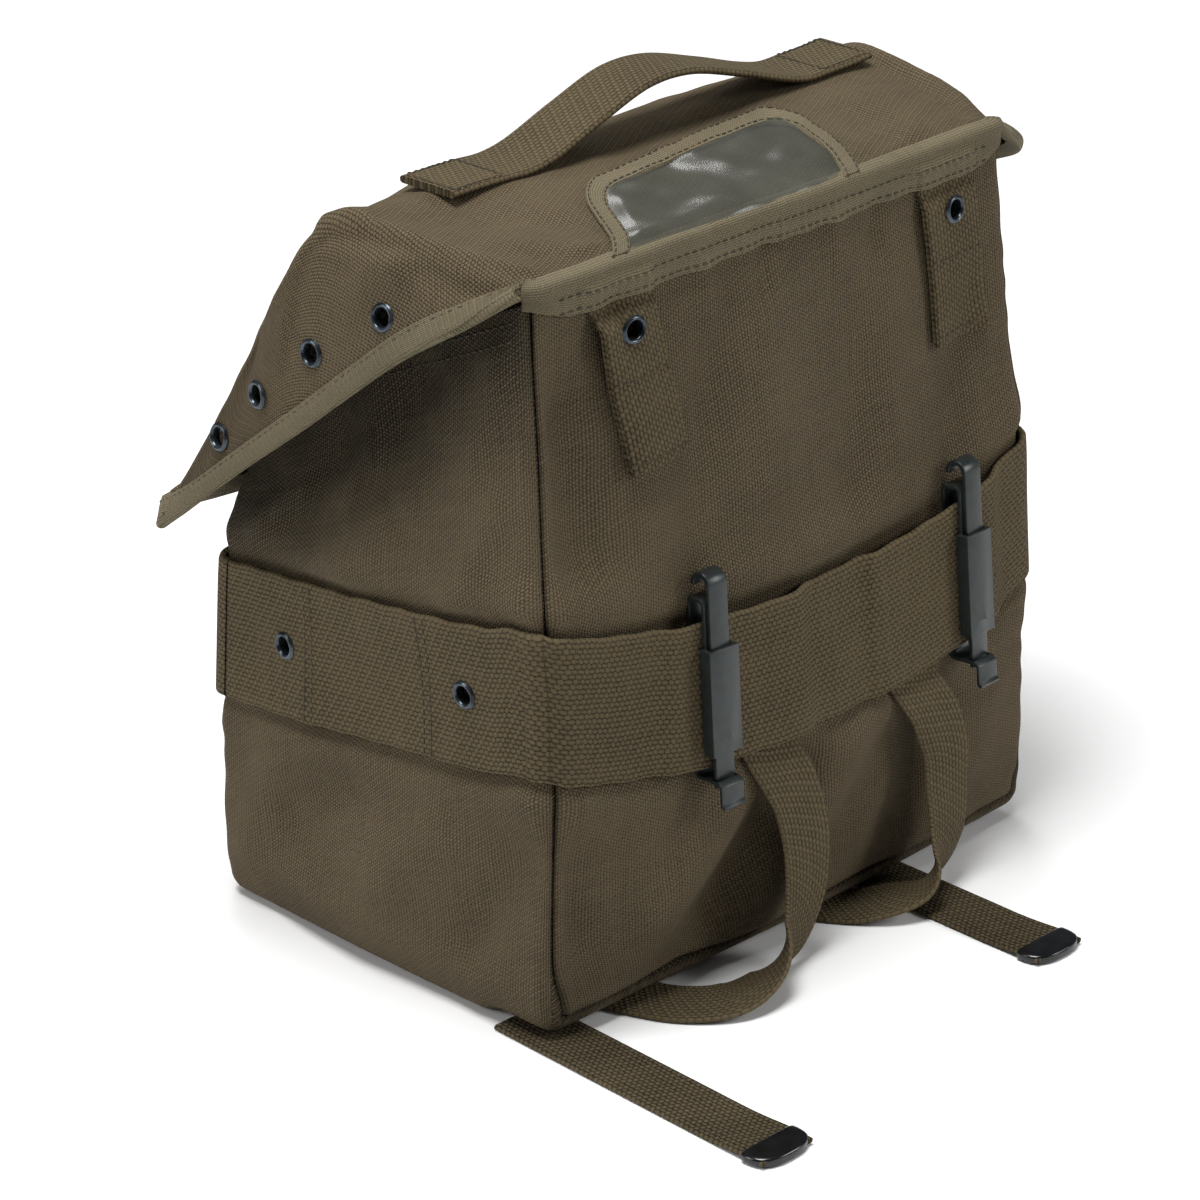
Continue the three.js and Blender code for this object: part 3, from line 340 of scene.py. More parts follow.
# %% [markdown]
# A row between two rows of a table comes from a smooth cubic, as a spline ruler would give it.

# %% Curves and easing
def ease(value):
    share = np.clip(value, 0, 1)
    return share * share * (3 - 2 * share)


def row_at(rows, position):
    last = len(next(iter(rows.values()))) - 1
    index = np.clip(np.floor(position).astype(int), 0, last - 1)
    share = position - index
    picks = [np.clip(index + step, 0, last) for step in (-1, 0, 1, 2)]
    result = {}
    for name, column in rows.items():
        before, start, end, after = (column[pick] for pick in picks)
        a = -before + 3 * start - 3 * end + after
        b = 2 * before - 5 * start + 4 * end - after
        result[name] = 0.5 * (a * share**3 + b * share**2 + (end - before) * share) + start
    return result


def settle(points):
    """Move points of the plain rounded box to their places on the filled, leaning bag."""
    x, y, z = points[..., 0], points[..., 1], points[..., 2]
    share = np.clip(z / BACK_HEIGHT, 0, 1)
    heights = BODY_SECTIONS["height"]
    following = np.clip(np.searchsorted(heights, share, side="left"), 1, len(heights) - 1)
    low, high = heights[following - 1], heights[following]
    section = row_at(BODY_SECTIONS, following - 1 + (share - low) / (high - low))
    across, along, height = x / HALF_WIDTH, y / HALF_DEPTH, z / BACK_HEIGHT
    moved_x = x * section["width"]
    moved_y = y * np.where(y < 0, section["back"], section["front"])
    for form in BODY_FORMS:
        sideways = form["face"] in ("left", "right")
        sign = -1 if form["face"] in ("left", "back") else 1
        outward = ease((sign * (across if sideways else along) - 0.25) / 0.65)
        offset = ((along if sideways else across) - form["along"]) / form["spread"]
        lift = (height - form["height"]) / form["rise"]
        push = sign * form["depth"] * BAG_DEPTH * outward * np.exp(-(offset**2) - lift**2)
        if sideways:
            moved_x = moved_x + push
        else:
            moved_y = moved_y + push
    relief = ease((RELIEF_LENGTH - (y + HALF_DEPTH)) / RELIEF_FADE)
    moved_z = z + STRAP_RELIEF * relief * np.clip(1 - z / BAND_HEIGHT, 0, 1)
    return np.stack([moved_x, moved_y, moved_z], axis=-1)


def body_point(x, y, z, offset=0.0):
    """A point of the bag's face, or of a face parallel to it, from its place on a sharp box."""
    sharp = np.stack(np.broadcast_arrays(x, y, z), axis=-1).astype(float)
    core = sharp.copy()
    core[..., 0] = np.clip(sharp[..., 0], CORNER - HALF_WIDTH, HALF_WIDTH - CORNER)
    core[..., 1] = np.clip(sharp[..., 1], CORNER - HALF_DEPTH, HALF_DEPTH - CORNER)
    core[..., 2] = np.maximum(sharp[..., 2], CORNER)
    outward = sharp - core
    length = np.maximum(np.linalg.norm(outward, axis=-1, keepdims=True), 1e-9)
    reach = np.asarray(CORNER + offset, float)
    return settle(core + outward / length * (reach[..., None] if reach.ndim else reach))


def top_at(y):
    return BACK_HEIGHT + (FRONT_HEIGHT - BACK_HEIGHT) * (np.asarray(y) + HALF_DEPTH) / BAG_DEPTH


print("middle of the belt face at", body_point(0.0, -HALF_DEPTH, 100.0).round(1))

# %% [markdown]
# Real canvas is never smooth: it swells over and under the tight band, tucks into its seams and
# carries soft creases from being packed. These small reliefs are added to the distance from the
# face. Fixed waves stand for the creases, so that each run gives the same cloth.

# %% Creases and tucks
def ripple(u, v, seed, wave_mm, amplitude):
    """A few crossed waves of about wave_mm, the same for the same seed."""
    random = np.random.default_rng(seed)
    total = np.zeros(np.broadcast(u, v).shape)
    for _ in range(6):
        angle, phase = random.uniform(0, math.tau, 2)
        step = math.tau / (wave_mm * random.uniform(0.7, 1.5))
        total = total + np.sin((u * math.cos(angle) + v * math.sin(angle)) * step + phase)
    return amplitude * total / 6


CREASES = [
    # face, from (across, height), to (across, height), width and depth in millimetres
    ("back", (-92, 196), (-86, 134), 11.0, -4.2),
    ("back", (-68, 190), (-60, 128), 12.0, 2.2),
    ("back", (-26, 206), (-52, 124), 8.0, -1.3),
    ("back", (-2, 212), (-20, 130), 13.0, 1.8),
    ("back", (30, 176), (18, 124), 8.0, -1.6),
    ("back", (52, 206), (40, 128), 11.0, 1.6),
    ("back", (84, 190), (66, 122), 9.0, -2.2),
    ("back", (0, 64), (-52, 6), 9.0, -4.6),
    ("back", (-26, 64), (-72, 16), 11.0, 2.4),
    ("back", (24, 60), (-30, 6), 10.0, 1.8),
    ("back", (-100, 62), (-92, 24), 6.0, -1.6),
    ("back", (34, 62), (2, 12), 10.0, -1.6),
    ("back", (60, 62), (34, 10), 10.0, -2.4),
    ("back", (86, 60), (70, 18), 11.0, 1.6),
    ("back", (-72, 218), (-68, 198), 4.0, -1.3),
    ("back", (-34, 218), (-30, 194), 4.5, 1.2),
    ("back", (-6, 218), (-10, 200), 3.5, -1.1),
    ("back", (22, 218), (26, 196), 4.5, 1.2),
    ("back", (42, 218), (40, 200), 3.5, -1.1),
    ("left", (-60, 208), (-36, 150), 7.0, 2.2),
    ("left", (-26, 200), (6, 140), 11.0, -4.0),
    ("left", (-58, 168), (-34, 124), 6.0, 1.8),
    ("left", (10, 170), (44, 126), 8.0, -2.6),
    ("left", (-10, 150), (14, 124), 9.0, 2.0),
    ("left", (30, 146), (58, 124), 6.0, 2.2),
    ("left", (-64, 62), (-34, 14), 8.0, -2.0),
    ("left", (-36, 64), (6, 22), 10.0, 2.6),
    ("left", (4, 64), (40, 30), 9.0, -2.2),
    ("left", (40, 62), (58, 12), 8.0, 1.8),
    ("left", (-60, 12), (52, 16), 7.0, 1.5),
    ("right", (-50, 190), (-10, 130), 9.0, -2.4),
    ("right", (0, 190), (30, 130), 10.0, 2.0),
    ("right", (20, 70), (-20, 20), 9.0, -2.2),
    ("right", (-30, 64), (-56, 16), 9.0, 1.8),
    ("front", (-70, 150), (-30, 66), 12.0, -2.4),
    ("front", (-20, 154), (6, 60), 13.0, 2.0),
    ("front", (66, 150), (30, 50), 12.0, -2.2),
    ("front", (-60, 60), (20, 16), 10.0, 1.8),
]


FAR_FROM_SEAM = 99.0
CREASE_DEPTH = 1.35


def line_distance(u, v, start, end):
    run = np.subtract(end, start, dtype=float)
    share = np.clip(((u - start[0]) * run[0] + (v - start[1]) * run[1]) / (run @ run), 0, 1)
    return np.hypot(u - start[0] - share * run[0], v - start[1] - share * run[1]), share


def band_line(x, y):
    """Height of the band's middle: it sags between the corners of the bag."""
    across = np.abs(x) / HALF_WIDTH
    behind = BAND_HEIGHT + BAND_HEIGHT * 0.15 * across**2.5
    before = BAND_HEIGHT * (0.96 + 0.01 * across**2)
    beside = BAND_HEIGHT * (1.06 - 0.09 * y / HALF_DEPTH)
    plain_corner = 9.0
    on_back = y <= plain_corner - HALF_DEPTH
    on_front = np.abs(x) < HALF_WIDTH - plain_corner
    round_corner = ease((-50 - y) / 11)
    beside = beside + (behind - beside) * round_corner
    return np.where(on_back, behind, np.where(on_front, before, beside))


def broad_relief(x, y, z):
    """Soft unevenness that the sewn-on pieces share with the canvas."""
    edge = np.hypot(HALF_WIDTH - np.abs(x), HALF_DEPTH - np.abs(y))
    quiet = ease(edge / 30)
    return quiet * (ripple(x + y, z, 3, 62.0, 1.3) + ripple(x - y, z, 5, 34.0, 0.5))


def fine_relief(x, y, z, face, from_seam=None):
    """Creases, the swell beside the band and the tucks at the seams, on the canvas alone."""
    along = x if face in ("back", "front") else y
    total = ripple(x + y * 0.9, z, 8, 15.0, 0.16)
    for name, start, end, width, depth in CREASES:
        if name == face:
            distance, share = line_distance(along, z, start, end)
            faded = ease(np.minimum(share, 1 - share) * 3 + 0.35)
            total = total + CREASE_DEPTH * depth * np.exp(-((distance / width) ** 2)) * faded
    from_band = np.abs(z - band_line(x, y)) - BAND_WIDTH / 2
    swell = ease(from_band / 5) * np.exp(-((from_band - 8) / 9) ** 2)
    total = total * ease(from_band / 5)
    swell = (2.3 + 0.9 * np.sin(x / 17 + y / 13)) * swell
    edge = np.hypot(HALF_WIDTH - np.abs(x), HALF_DEPTH - np.abs(y)) if from_seam is None else from_seam
    foot = np.hypot(HALF_DEPTH - np.abs(y), z) if from_seam is None else FAR_FROM_SEAM
    pucker = 0.28 * np.sin(z / 2.1 + 1.7 * np.sin(z / 9.3)) * np.exp(-edge / 6)
    tuck = -1.5 * np.exp(-((edge / 1.5) ** 2)) - 1.2 * np.exp(-((foot / 1.5) ** 2))
    corner = ease(edge / 9)
    return total * corner + swell * (0.6 + 0.4 * corner) + pucker + tuck


def wrap_at(z):
    """How far the side and foot strip turns on to the panels before its seam."""
    return 1.3 + 0.3 * np.sin(z / 13.0 + 1.0) + 4.2 * (1 - ease(z / 26))


def on_panel(x, z):
    """The place on a panel for a point of the whole face, inside the turned-on strip."""
    wrap = wrap_at(z)
    return x * (1 - wrap / HALF_WIDTH), wrap + z * (1 - wrap / BACK_HEIGHT)


print("creases:", len(CREASES))

# %% [markdown]
# Every cloth piece becomes a closed mesh with a real thickness. The helper takes a grid of outer
# points and one of inner points, joins them round the rim, and stores the cut's own metres as a
# UV map for the weave and a value for the colour that holds wear and painted shade.

# %% Cloth mesh helper
SHARP_ANGLE = 55


def finish_mesh(name, points, faces, uvs, wear_and_shade, material):
    """Points in millimetres and their faces become an object, with faces turned outwards."""
    points = metres(points)
    mesh = bpy.data.meshes.new(name)
    first, second, third, last = (points[[face[k] for face in faces]] for k in (0, 1, 2, -1))
    volume = (first * np.cross(second, third)).sum() + (first * np.cross(third, last)).sum()
    if volume < 0:
        faces = [face[::-1] for face in faces]
        uvs = [face[::-1] for face in uvs]
    mesh.from_pydata(points.tolist(), [], faces)
    layer = mesh.uv_layers.new(name="cloth")
    layer.data.foreach_set("uv", metres([corner for face in uvs for corner in face]).ravel())
    # The point value holds rubbed wear and painted shade.
    worn_and_shaded = mesh.attributes.new("wear_and_shade", "FLOAT", "POINT")
    worn_and_shaded.data.foreach_set("value", np.asarray(wear_and_shade, np.float32).ravel())
    mesh.shade_smooth()
    mesh.set_sharp_from_angle(angle=math.radians(SHARP_ANGLE))
    mesh.materials.append(material)
    mesh.update()
    piece = bpy.data.objects.new(name, mesh)
    bpy.context.collection.objects.link(piece)
    return piece


def cloth_sheet(name, outer, inner, uv, wear_and_shade, material):
    rows, columns = outer.shape[:2]
    layer = rows * columns
    index = np.arange(layer).reshape(rows, columns)
    a, b, c, d = index[:-1, :-1], index[:-1, 1:], index[1:, 1:], index[1:, :-1]
    quads = np.stack([a, b, c, d], -1).reshape(-1, 4)
    rim = np.concatenate([index[0, :-1], index[:-1, -1], index[-1, :0:-1], index[:0:-1, 0]])
    following = np.roll(rim, -1)
    sides = np.stack([rim, rim + layer, following + layer, following], -1)
    faces = np.concatenate([quads, quads[:, ::-1] + layer, sides])
    points = np.concatenate([outer.reshape(-1, 3), inner.reshape(-1, 3)])
    flat = np.concatenate([uv.reshape(-1, 2)] * 2)
    worn_and_shaded = np.concatenate([np.broadcast_to(wear_and_shade, (rows, columns)).ravel()] * 2)
    return finish_mesh(name, points, faces.tolist(), flat[faces].tolist(), worn_and_shaded, material)


def arc_lengths(points):
    """Distance along a line of points, or along each row of a grid of them."""
    steps = np.linalg.norm(np.diff(points, axis=-2), axis=-1)
    return np.concatenate([np.zeros((*steps.shape[:-1], 1)), np.cumsum(steps, axis=-1)], axis=-1)


def applied(piece):
    """The piece's mesh with its modifiers made real, and the modifiers gone."""
    graph = bpy.context.evaluated_depsgraph_get()
    mesh = bpy.data.meshes.new_from_object(piece.evaluated_get(graph))
    piece.modifiers.clear()
    return mesh


def replace(piece, node, body="bag"):
    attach(piece, body)
    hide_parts(node)
    faces = sum(len(face.vertices) - 2 for face in piece.data.polygons)
    print(f"{piece.name}: {faces} triangles")


print("mesh helpers ready")

# %% [markdown]
# The canvas body is three pieces, as sewn: a strip that is both sides and the foot, a back panel
# and a front panel. They meet at the corners of the box, where each turns in to its seam.

# %% Canvas body
STEP = 2.0
SEAM_GAP = 0.25


def lines(low, high, step=STEP):
    return np.linspace(low, high, max(2, int(round((high - low) / step)) + 1))


def close_lines(half, step=STEP):
    """Lines across a face, closer together where it turns in to its seams."""
    middle = lines(-half + 8, half - 8, step)
    side = half - np.array([7.0, 6.0, 5.0, 4.1, 3.3, 2.6, 2.0, 1.5, 1.0, SEAM_GAP])
    return np.concatenate([-side[::-1], middle, side])


def skin(x, y, z, face, offset=0.0, from_seam=None):
    """A place on the canvas with its creases."""
    return body_point(x, y, z, broad_relief(x, y, z) + fine_relief(x, y, z, face, from_seam) + offset)


def seam_wear_and_shade(x, y, z):
    edge = np.hypot(HALF_WIDTH - np.abs(x), HALF_DEPTH - np.abs(y))
    foot = np.hypot(HALF_DEPTH - np.abs(y), z)
    near = np.minimum(edge, foot)
    # Paler rubbed canvas a few millimetres from the seams, and painted shade darkening the seam lines
    # themselves.
    return 0.07 * np.exp(-(((near - 3.5) / 2.0) ** 2)) - 0.25 * np.exp(-((near / 1.2) ** 2))


def make_panel(node, side):
    y = side * HALF_DEPTH
    top = top_at(y)
    face = "back" if side < 0 else "front"
    heights = np.concatenate([[SEAM_GAP, 1.0, 1.5, 2.0, 2.7, 3.5, 4.5, 6.0], lines(8.0, float(top))])
    x, z = np.meshgrid(close_lines(HALF_WIDTH), heights)
    flat_y = np.full_like(x, y)
    place_x, place_z = on_panel(x, z)
    relief = broad_relief(x, flat_y, z) + fine_relief(x, flat_y, z, face)
    outer = body_point(place_x, flat_y, place_z, relief)
    inner = body_point(place_x, flat_y, place_z, relief - CLOTH)
    uv = np.stack([z, x], -1)
    piece = cloth_sheet(node + "_canvas", outer, inner, uv, seam_wear_and_shade(x, flat_y, z), canvas)
    replace(piece, node)


def make_gusset():
    """One strip down the left side, under the foot and up the right side."""
    tight = np.array([6.0, 4.5, 3.2, 2.0, 1.0])
    side = [("left", 8.0, share) for share in np.linspace(1, 0, 105)]
    side += [("left", z, 0.0) for z in tight]
    corner = [("left", 0.0, 0.0)]
    foot = [("foot", x, 0.0) for x in np.concatenate([
        -HALF_WIDTH + tight[::-1], lines(8 - HALF_WIDTH, HALF_WIDTH - 8, 3.0), HALF_WIDTH - tight])]
    path = side + corner + foot + [("right", low, share) for _, low, share in (side + corner)[::-1]]
    plain = close_lines(HALF_DEPTH)
    outer, inner, wear_and_shade, placed = [], [], [], []
    for face, value, share in path:
        if face == "foot":
            level, edge_x = 0.0, value
            reach = HALF_DEPTH + wrap_at(0.0)
        else:
            level, edge_x = value, HALF_WIDTH if face == "right" else -HALF_WIDTH
            reach = HALF_DEPTH + wrap_at(level + share * (BACK_HEIGHT - level))
        y = plain / HALF_DEPTH * reach
        over = np.maximum(np.abs(y) - HALF_DEPTH, 0)
        from_seam = reach - np.abs(y)
        y = np.clip(y, -HALF_DEPTH, HALF_DEPTH)
        z = level + share * (top_at(y) - level)
        x = edge_x * (1 - over / HALF_WIDTH)
        up = over + z * (1 - over / BACK_HEIGHT)
        flat = np.full_like(y, edge_x)
        if face == "foot":
            relief = 0 * y
        else:
            relief = (broad_relief(flat, y, z) + fine_relief(flat, y, z, face, from_seam)) * ease(z / 12)
        relief = relief - 1.5 * np.exp(-((from_seam / 1.5) ** 2)) * (1 - ease(z / 12))
        outer.append(body_point(x, y, up, relief))
        inner.append(body_point(x, y, up, relief - CLOTH))
        # Painted shade: under the lid's wing the canvas is painted darker, as the wing's shadow.
        wing_edge = 215 - (y + 60) * 0.68
        painted_wing_shade = 0.47 * ease((z - wing_edge + 52) / 52) if face != "foot" else 0 * y
        # Paler rubbed canvas beside the seam, and painted shade darkening the seam line itself.
        rubbed_and_seam_shade = 0.08 * np.exp(-(((from_seam - 3.5) / 2.0) ** 2)) - 0.25 * np.exp(-((from_seam / 1.2) ** 2))
        wear_and_shade.append(rubbed_and_seam_shade - painted_wing_shade)
        placed.append(y)
    outer = np.array(outer)
    along = np.swapaxes(arc_lengths(np.swapaxes(outer, 0, 1)), 0, 1)
    uv = np.stack([along, np.array(placed)], -1)
    piece = cloth_sheet("gusset_canvas", outer, np.array(inner), uv, np.array(wear_and_shade), canvas)
    replace(piece, "gusset")


make_gusset()
make_panel("back_panel", -1)
make_panel("front_panel", 1)

# %% [markdown]
# The lid is one canvas sheet, folded over the bag from the back seam to the front hem, with wings
# that hang over both sides. Its table has a row for each section across: the height of its
# middle, where it turns over the side, and where its edge is.

# %% Lid shape
LID_DROP = 98.0
LID_FALL = LID_DROP / 0.442 / BACK_HEIGHT
LID_TURN, LID_WING = 0.68, 0.84
LID_START = BACK_HEIGHT + CLEARANCE + TAPE_WALL + CLEARANCE + CLOTH / 2
LID_SECTIONS = table("midY midZ turnX turnY turnZ leftX rightX edgeY leftZ rightZ", [
    (-0.905, 0.000, 0.845, -0.855, 0.000, 0.940, 0.935, -0.845, 0.000, 0.000),
    (-0.720, 0.014, 0.920, -0.690, 0.010, 1.035, 1.165, -0.690, -0.040, -0.070),
    (-0.370, 0.028, 0.995, -0.370, 0.024, 1.080, 1.235, -0.370, -0.106, -0.122),
    (0.060, 0.030, 1.050, 0.045, 0.031, 1.110, 1.255, 0.125, -0.228, -0.222),
    (0.340, 0.004, 1.070, 0.270, -0.040, 1.125, 1.245, 0.420, -0.298, -0.292),
    (0.600, -0.100, 1.085, 0.520, -0.175, 1.135, 1.225, 0.650, -0.354, -0.348),
    (0.860, -0.240, 1.095, 0.770, -0.300, 1.142, 1.200, 0.850, -0.403, -0.397),
    (1.110, -0.452, 1.105, 1.050, -0.425, 1.130, 1.170, 1.030, -0.442, -0.442),
])
LID_END = len(LID_SECTIONS["midY"]) - 1
PLAIN_CORNER = 9.0


def lid_flat(across, down):
    across, down = np.broadcast_arrays(np.asarray(across, float), np.asarray(down, float))
    row = row_at(LID_SECTIONS, down)
    left = across < 0
    side = np.where(left, -1.0, 1.0)

    def drop(share):
        return LID_START + share * BACK_HEIGHT * np.where(share < 0, LID_FALL, 1.0)

    middle = np.stack([0 * side, row["midY"] * HALF_DEPTH, drop(row["midZ"])], -1)
    turn = np.stack([side * row["turnX"] * HALF_WIDTH, row["turnY"] * HALF_DEPTH, drop(row["turnZ"])], -1)
    edge = np.stack([
        side * np.where(left, row["leftX"], row["rightX"]) * HALF_WIDTH,
        row["edgeY"] * HALF_DEPTH,
        drop(np.where(left, row["leftZ"], row["rightZ"])),
    ], -1)
    reach = np.linalg.norm(turn - edge, axis=-1, keepdims=True)
    roll = np.clip(PLAIN_CORNER * 0.8 / reach, 0, 0.45)
    inner = turn + (middle - turn) * 0.07
    outer = turn + (edge - turn) * roll
    share = np.abs(across)[..., None]
    spread = np.clip(share / LID_TURN, 0, 1)
    top = middle + (inner - middle) * spread**3
    top[..., 0] = (inner * spread)[..., 0]
    t = np.clip((share - LID_TURN) / (LID_WING - LID_TURN), 0, 1)
    first = inner + (turn - inner) * t
    bend = first + (turn + (outer - turn) * t - first) * t
    hang = outer + (edge - outer) * np.clip((share - LID_WING) / (1 - LID_WING), 0, 1)
    return np.where(share <= LID_TURN, top, np.where(share < LID_WING, bend, hang))


def lid_point(across, down, offset=0.0):
    across, down = np.broadcast_arrays(np.asarray(across, float), np.asarray(down, float))
    low, high = np.clip(down - 0.01, 0, LID_END), np.clip(down + 0.01, 0, LID_END)
    left, right = np.clip(across - 0.01, -1, 1), np.clip(across + 0.01, -1, 1)
    run = lid_flat(right, down) - lid_flat(left, down)
    fall = lid_flat(across, high) - lid_flat(across, low)
    outward = np.cross(run, fall)
    outward /= np.maximum(np.linalg.norm(outward, axis=-1, keepdims=True), 1e-9)
    return lid_flat(across, down) + outward * np.asarray(offset, float)[..., None]


print("lid ridge at", lid_flat(0.0, 3.0).round(1), "left tip at", lid_flat(-1.0, 7.0).round(1))

# %% [markdown]
# Creases of the lid: a soft roll behind the ridge, ribs that fan out over the left wing, and the
# dents beside the sewn-down window and handle. They fade out at the edges, where the tape holds
# the cloth flat.

# %% Lid cloth
LID_CREASES = [
    # from (across, down), to (across, down), width in shares of the half width, depth in mm
    ((-0.70, 0.2), (-0.70, 2.9), 0.035, 1.4),
    ((-0.70, 2.6), (-0.70, 3.4), 0.050, 2.6),
    ((-0.70, 3.0), (-0.30, 2.5), 0.045, 1.2),
    ((-0.62, 2.6), (-0.40, 1.2), 0.060, -1.6),
    ((-0.86, 0.5), (-0.80, 2.2), 0.045, -1.8),
    ((-0.90, 2.6), (-0.76, 2.0), 0.045, 1.6),
    ((-0.84, 3.6), (-0.74, 1.8), 0.045, -1.6),
    ((-0.92, 3.4), (-0.80, 4.6), 0.045, 1.4),
    ((-0.88, 5.0), (-0.76, 3.8), 0.045, -1.4),
    ((-0.50, 0.5), (-0.62, 1.6), 0.050, 1.3),
    ((-0.15, 2.5), (0.30, 2.6), 0.050, -1.8),
    ((-0.46, 2.2), (-0.62, 3.2), 0.050, -1.2),
    ((0.50, 0.4), (0.58, 2.2), 0.055, 1.9),
    ((0.42, 0.6), (0.46, 2.2), 0.050, -1.2),
    ((0.74, 0.6), (0.66, 2.8), 0.050, -2.0),
    ((0.86, 1.0), (0.64, 3.4), 0.050, 2.0),
    ((-0.40, 3.4), (-0.20, 6.4), 0.080, 2.2),
    ((-0.10, 3.4), (-0.02, 6.2), 0.080, -1.8),
    ((0.10, 3.6), (0.25, 6.6), 0.080, -1.4),
    ((0.45, 3.6), (0.38, 6.2), 0.080, 2.0),
]


def lid_relief(across, down):
    total = 0.55 * ripple(across * 120, down * 30, 21, 46.0, 1.6)
    total = total + ripple(across * 130, down * 30, 22, 17.0, 0.30)
    for start, end, width, depth in LID_CREASES:
        near_end, far_end = (start[0], start[1] * 0.25), (end[0], end[1] * 0.25)
        distance, share = line_distance(across, down * 0.25, near_end, far_end)
        faded = ease(np.minimum(share, 1 - share) * 3 + 0.3)
        total = total + depth * np.exp(-((distance / width) ** 2)) * faded
    held = np.minimum(ease(down / 0.8), ease((LID_END - down) / 0.8)) * ease((1 - np.abs(across)) / 0.05)
    return total * held


def lid_skin(across, down, offset=0.0):
    return lid_point(across, down, lid_relief(across, down) + offset)


def make_lid():
    shares = np.unique(np.concatenate([
        np.linspace(0, LID_TURN, 50), np.linspace(LID_TURN, LID_WING, 16), np.linspace(LID_WING, 1, 30),
    ]))
    shares = np.concatenate([-shares[:0:-1], shares])
    across, down = np.meshgrid(shares, np.linspace(0, LID_END, 120))
    outer, inner = (lid_skin(across, down, side * CLOTH / 2) for side in (1, -1))
    middle = lid_point(across, down)
    wide = arc_lengths(middle)
    wide = wide - wide[:, wide.shape[1] // 2][:, None]
    long = np.swapaxes(arc_lengths(np.swapaxes(middle, 0, 1)), 0, 1)
    wear_and_shade = 0.03 * np.exp(-(((down - 3.0) / 0.5) ** 2)) + 0.03 * np.exp(-(((np.abs(across) - 0.76) / 0.05) ** 2))
    widths, middle_run = np.ptp(wide, axis=1) / 1000, long[:, long.shape[1] // 2] / 1000
    cut_area = float(((widths[1:] + widths[:-1]) / 2 * np.diff(middle_run)).sum())
    flat = float(widths.max()), float(middle_run[-1]), cut_area
    return cloth_sheet("lid_canvas", outer, inner, np.stack([long, wide], -1), wear_and_shade, canvas), flat


lid, lid_cut = make_lid()
print("lid points:", len(lid.data.vertices), "cut width, length and area:",
      [round(value, 4) for value in lid_cut])

# %% [markdown]
# Eyelets go through the cloth, so the lid and the band get real holes. A seat is the place and
# direction of one eyelet: its local Z points straight out of the cloth. The holes are cut with
# cylinders in one boolean, which keeps the UV map.

# %% Seats and holes
EYELET_HOLE, EYELET_FLANGE = 2.7, 4.2
HOLE_RADIUS, HOLE_SIDES, HOLE_REACH = EYELET_HOLE + 0.5, 32, 6
SEAT_STEP = 0.02


def seat_on(point_at, u, v):
    """A 4x4 matrix in millimetres on a surface, from point_at(u, v, offset)."""
    place = point_at(u, v, 0.0)
    along = point_at(u + SEAT_STEP, v, 0.0) - point_at(u - SEAT_STEP, v, 0.0)
    along /= np.linalg.norm(along)
    side = point_at(u, v + SEAT_STEP, 0.0) - point_at(u, v - SEAT_STEP, 0.0)
    outward = np.cross(along, side)
    outward /= np.linalg.norm(outward)
    if outward @ (point_at(u, v, 1.0) - place) < 0:
        outward = -outward
    seat = np.eye(4)
    seat[:3, 0], seat[:3, 1], seat[:3, 2], seat[:3, 3] = along, np.cross(outward, along), outward, place
    return seat


def cut_holes(piece, seats):
    turns = np.linspace(0, math.tau, HOLE_SIDES, endpoint=False)
    ring = np.stack([np.cos(turns) * HOLE_RADIUS, np.sin(turns) * HOLE_RADIUS], -1)
    cylinder = np.concatenate([
        np.column_stack([ring, np.full(HOLE_SIDES, z)]) for z in (-HOLE_REACH, HOLE_REACH)])
    points, faces = [], []
    for number, seat in enumerate(seats):
        points.append(cylinder @ seat[:3, :3].T + seat[:3, 3])
        low = [number * 2 * HOLE_SIDES + i for i in range(HOLE_SIDES)]
        high = [i + HOLE_SIDES for i in low]
        around = zip(low, low[1:] + low[:1], high[1:] + high[:1], high)
        faces += [*around, tuple(low[::-1]), tuple(high)]
    mesh = bpy.data.meshes.new("hole_cutter")
    mesh.from_pydata(metres(np.concatenate(points)).tolist(), [], faces)
    cutter = bpy.data.objects.new("hole_cutter", mesh)
    bpy.context.collection.objects.link(cutter)
    modifier = piece.modifiers.new("holes", "BOOLEAN")
    modifier.operation, modifier.object, modifier.solver = "DIFFERENCE", cutter, "EXACT"
    old = piece.data
    piece.data = applied(piece)
    piece.data.name = piece.name
    bpy.data.meshes.remove(old)
    bpy.data.objects.remove(cutter)
    bpy.data.meshes.remove(mesh)


# Section of the lid, and distance in from the wing's edge.
LID_EYELETS = [(2.22, 15.4), (3.00, 21.0), (4.10, 21.0), (5.25, 17.5)]


def lid_seats(side):
    seats = []
    for down, inset in LID_EYELETS:
        wing = np.linalg.norm(lid_flat(side * LID_WING, down) - lid_flat(side, down))
        across = side * (1 - (1 - LID_WING) * inset / wing)
        seats.append(seat_on(lid_skin, across, down))
    return seats


lid_eyelets = {"left": lid_seats(-1), "right": lid_seats(1)}
cut_holes(lid, lid_eyelets["left"] + lid_eyelets["right"])
replace(lid, "lid")

# %% [markdown]
# Webbing and tape have the same kind of section: a flat strip with rounded edges, or a strip
# folded in two over an edge. A section is a row of points on one side and a row back along the
# other. Swept along its run it makes the strip, and its own length and width become the UV map.

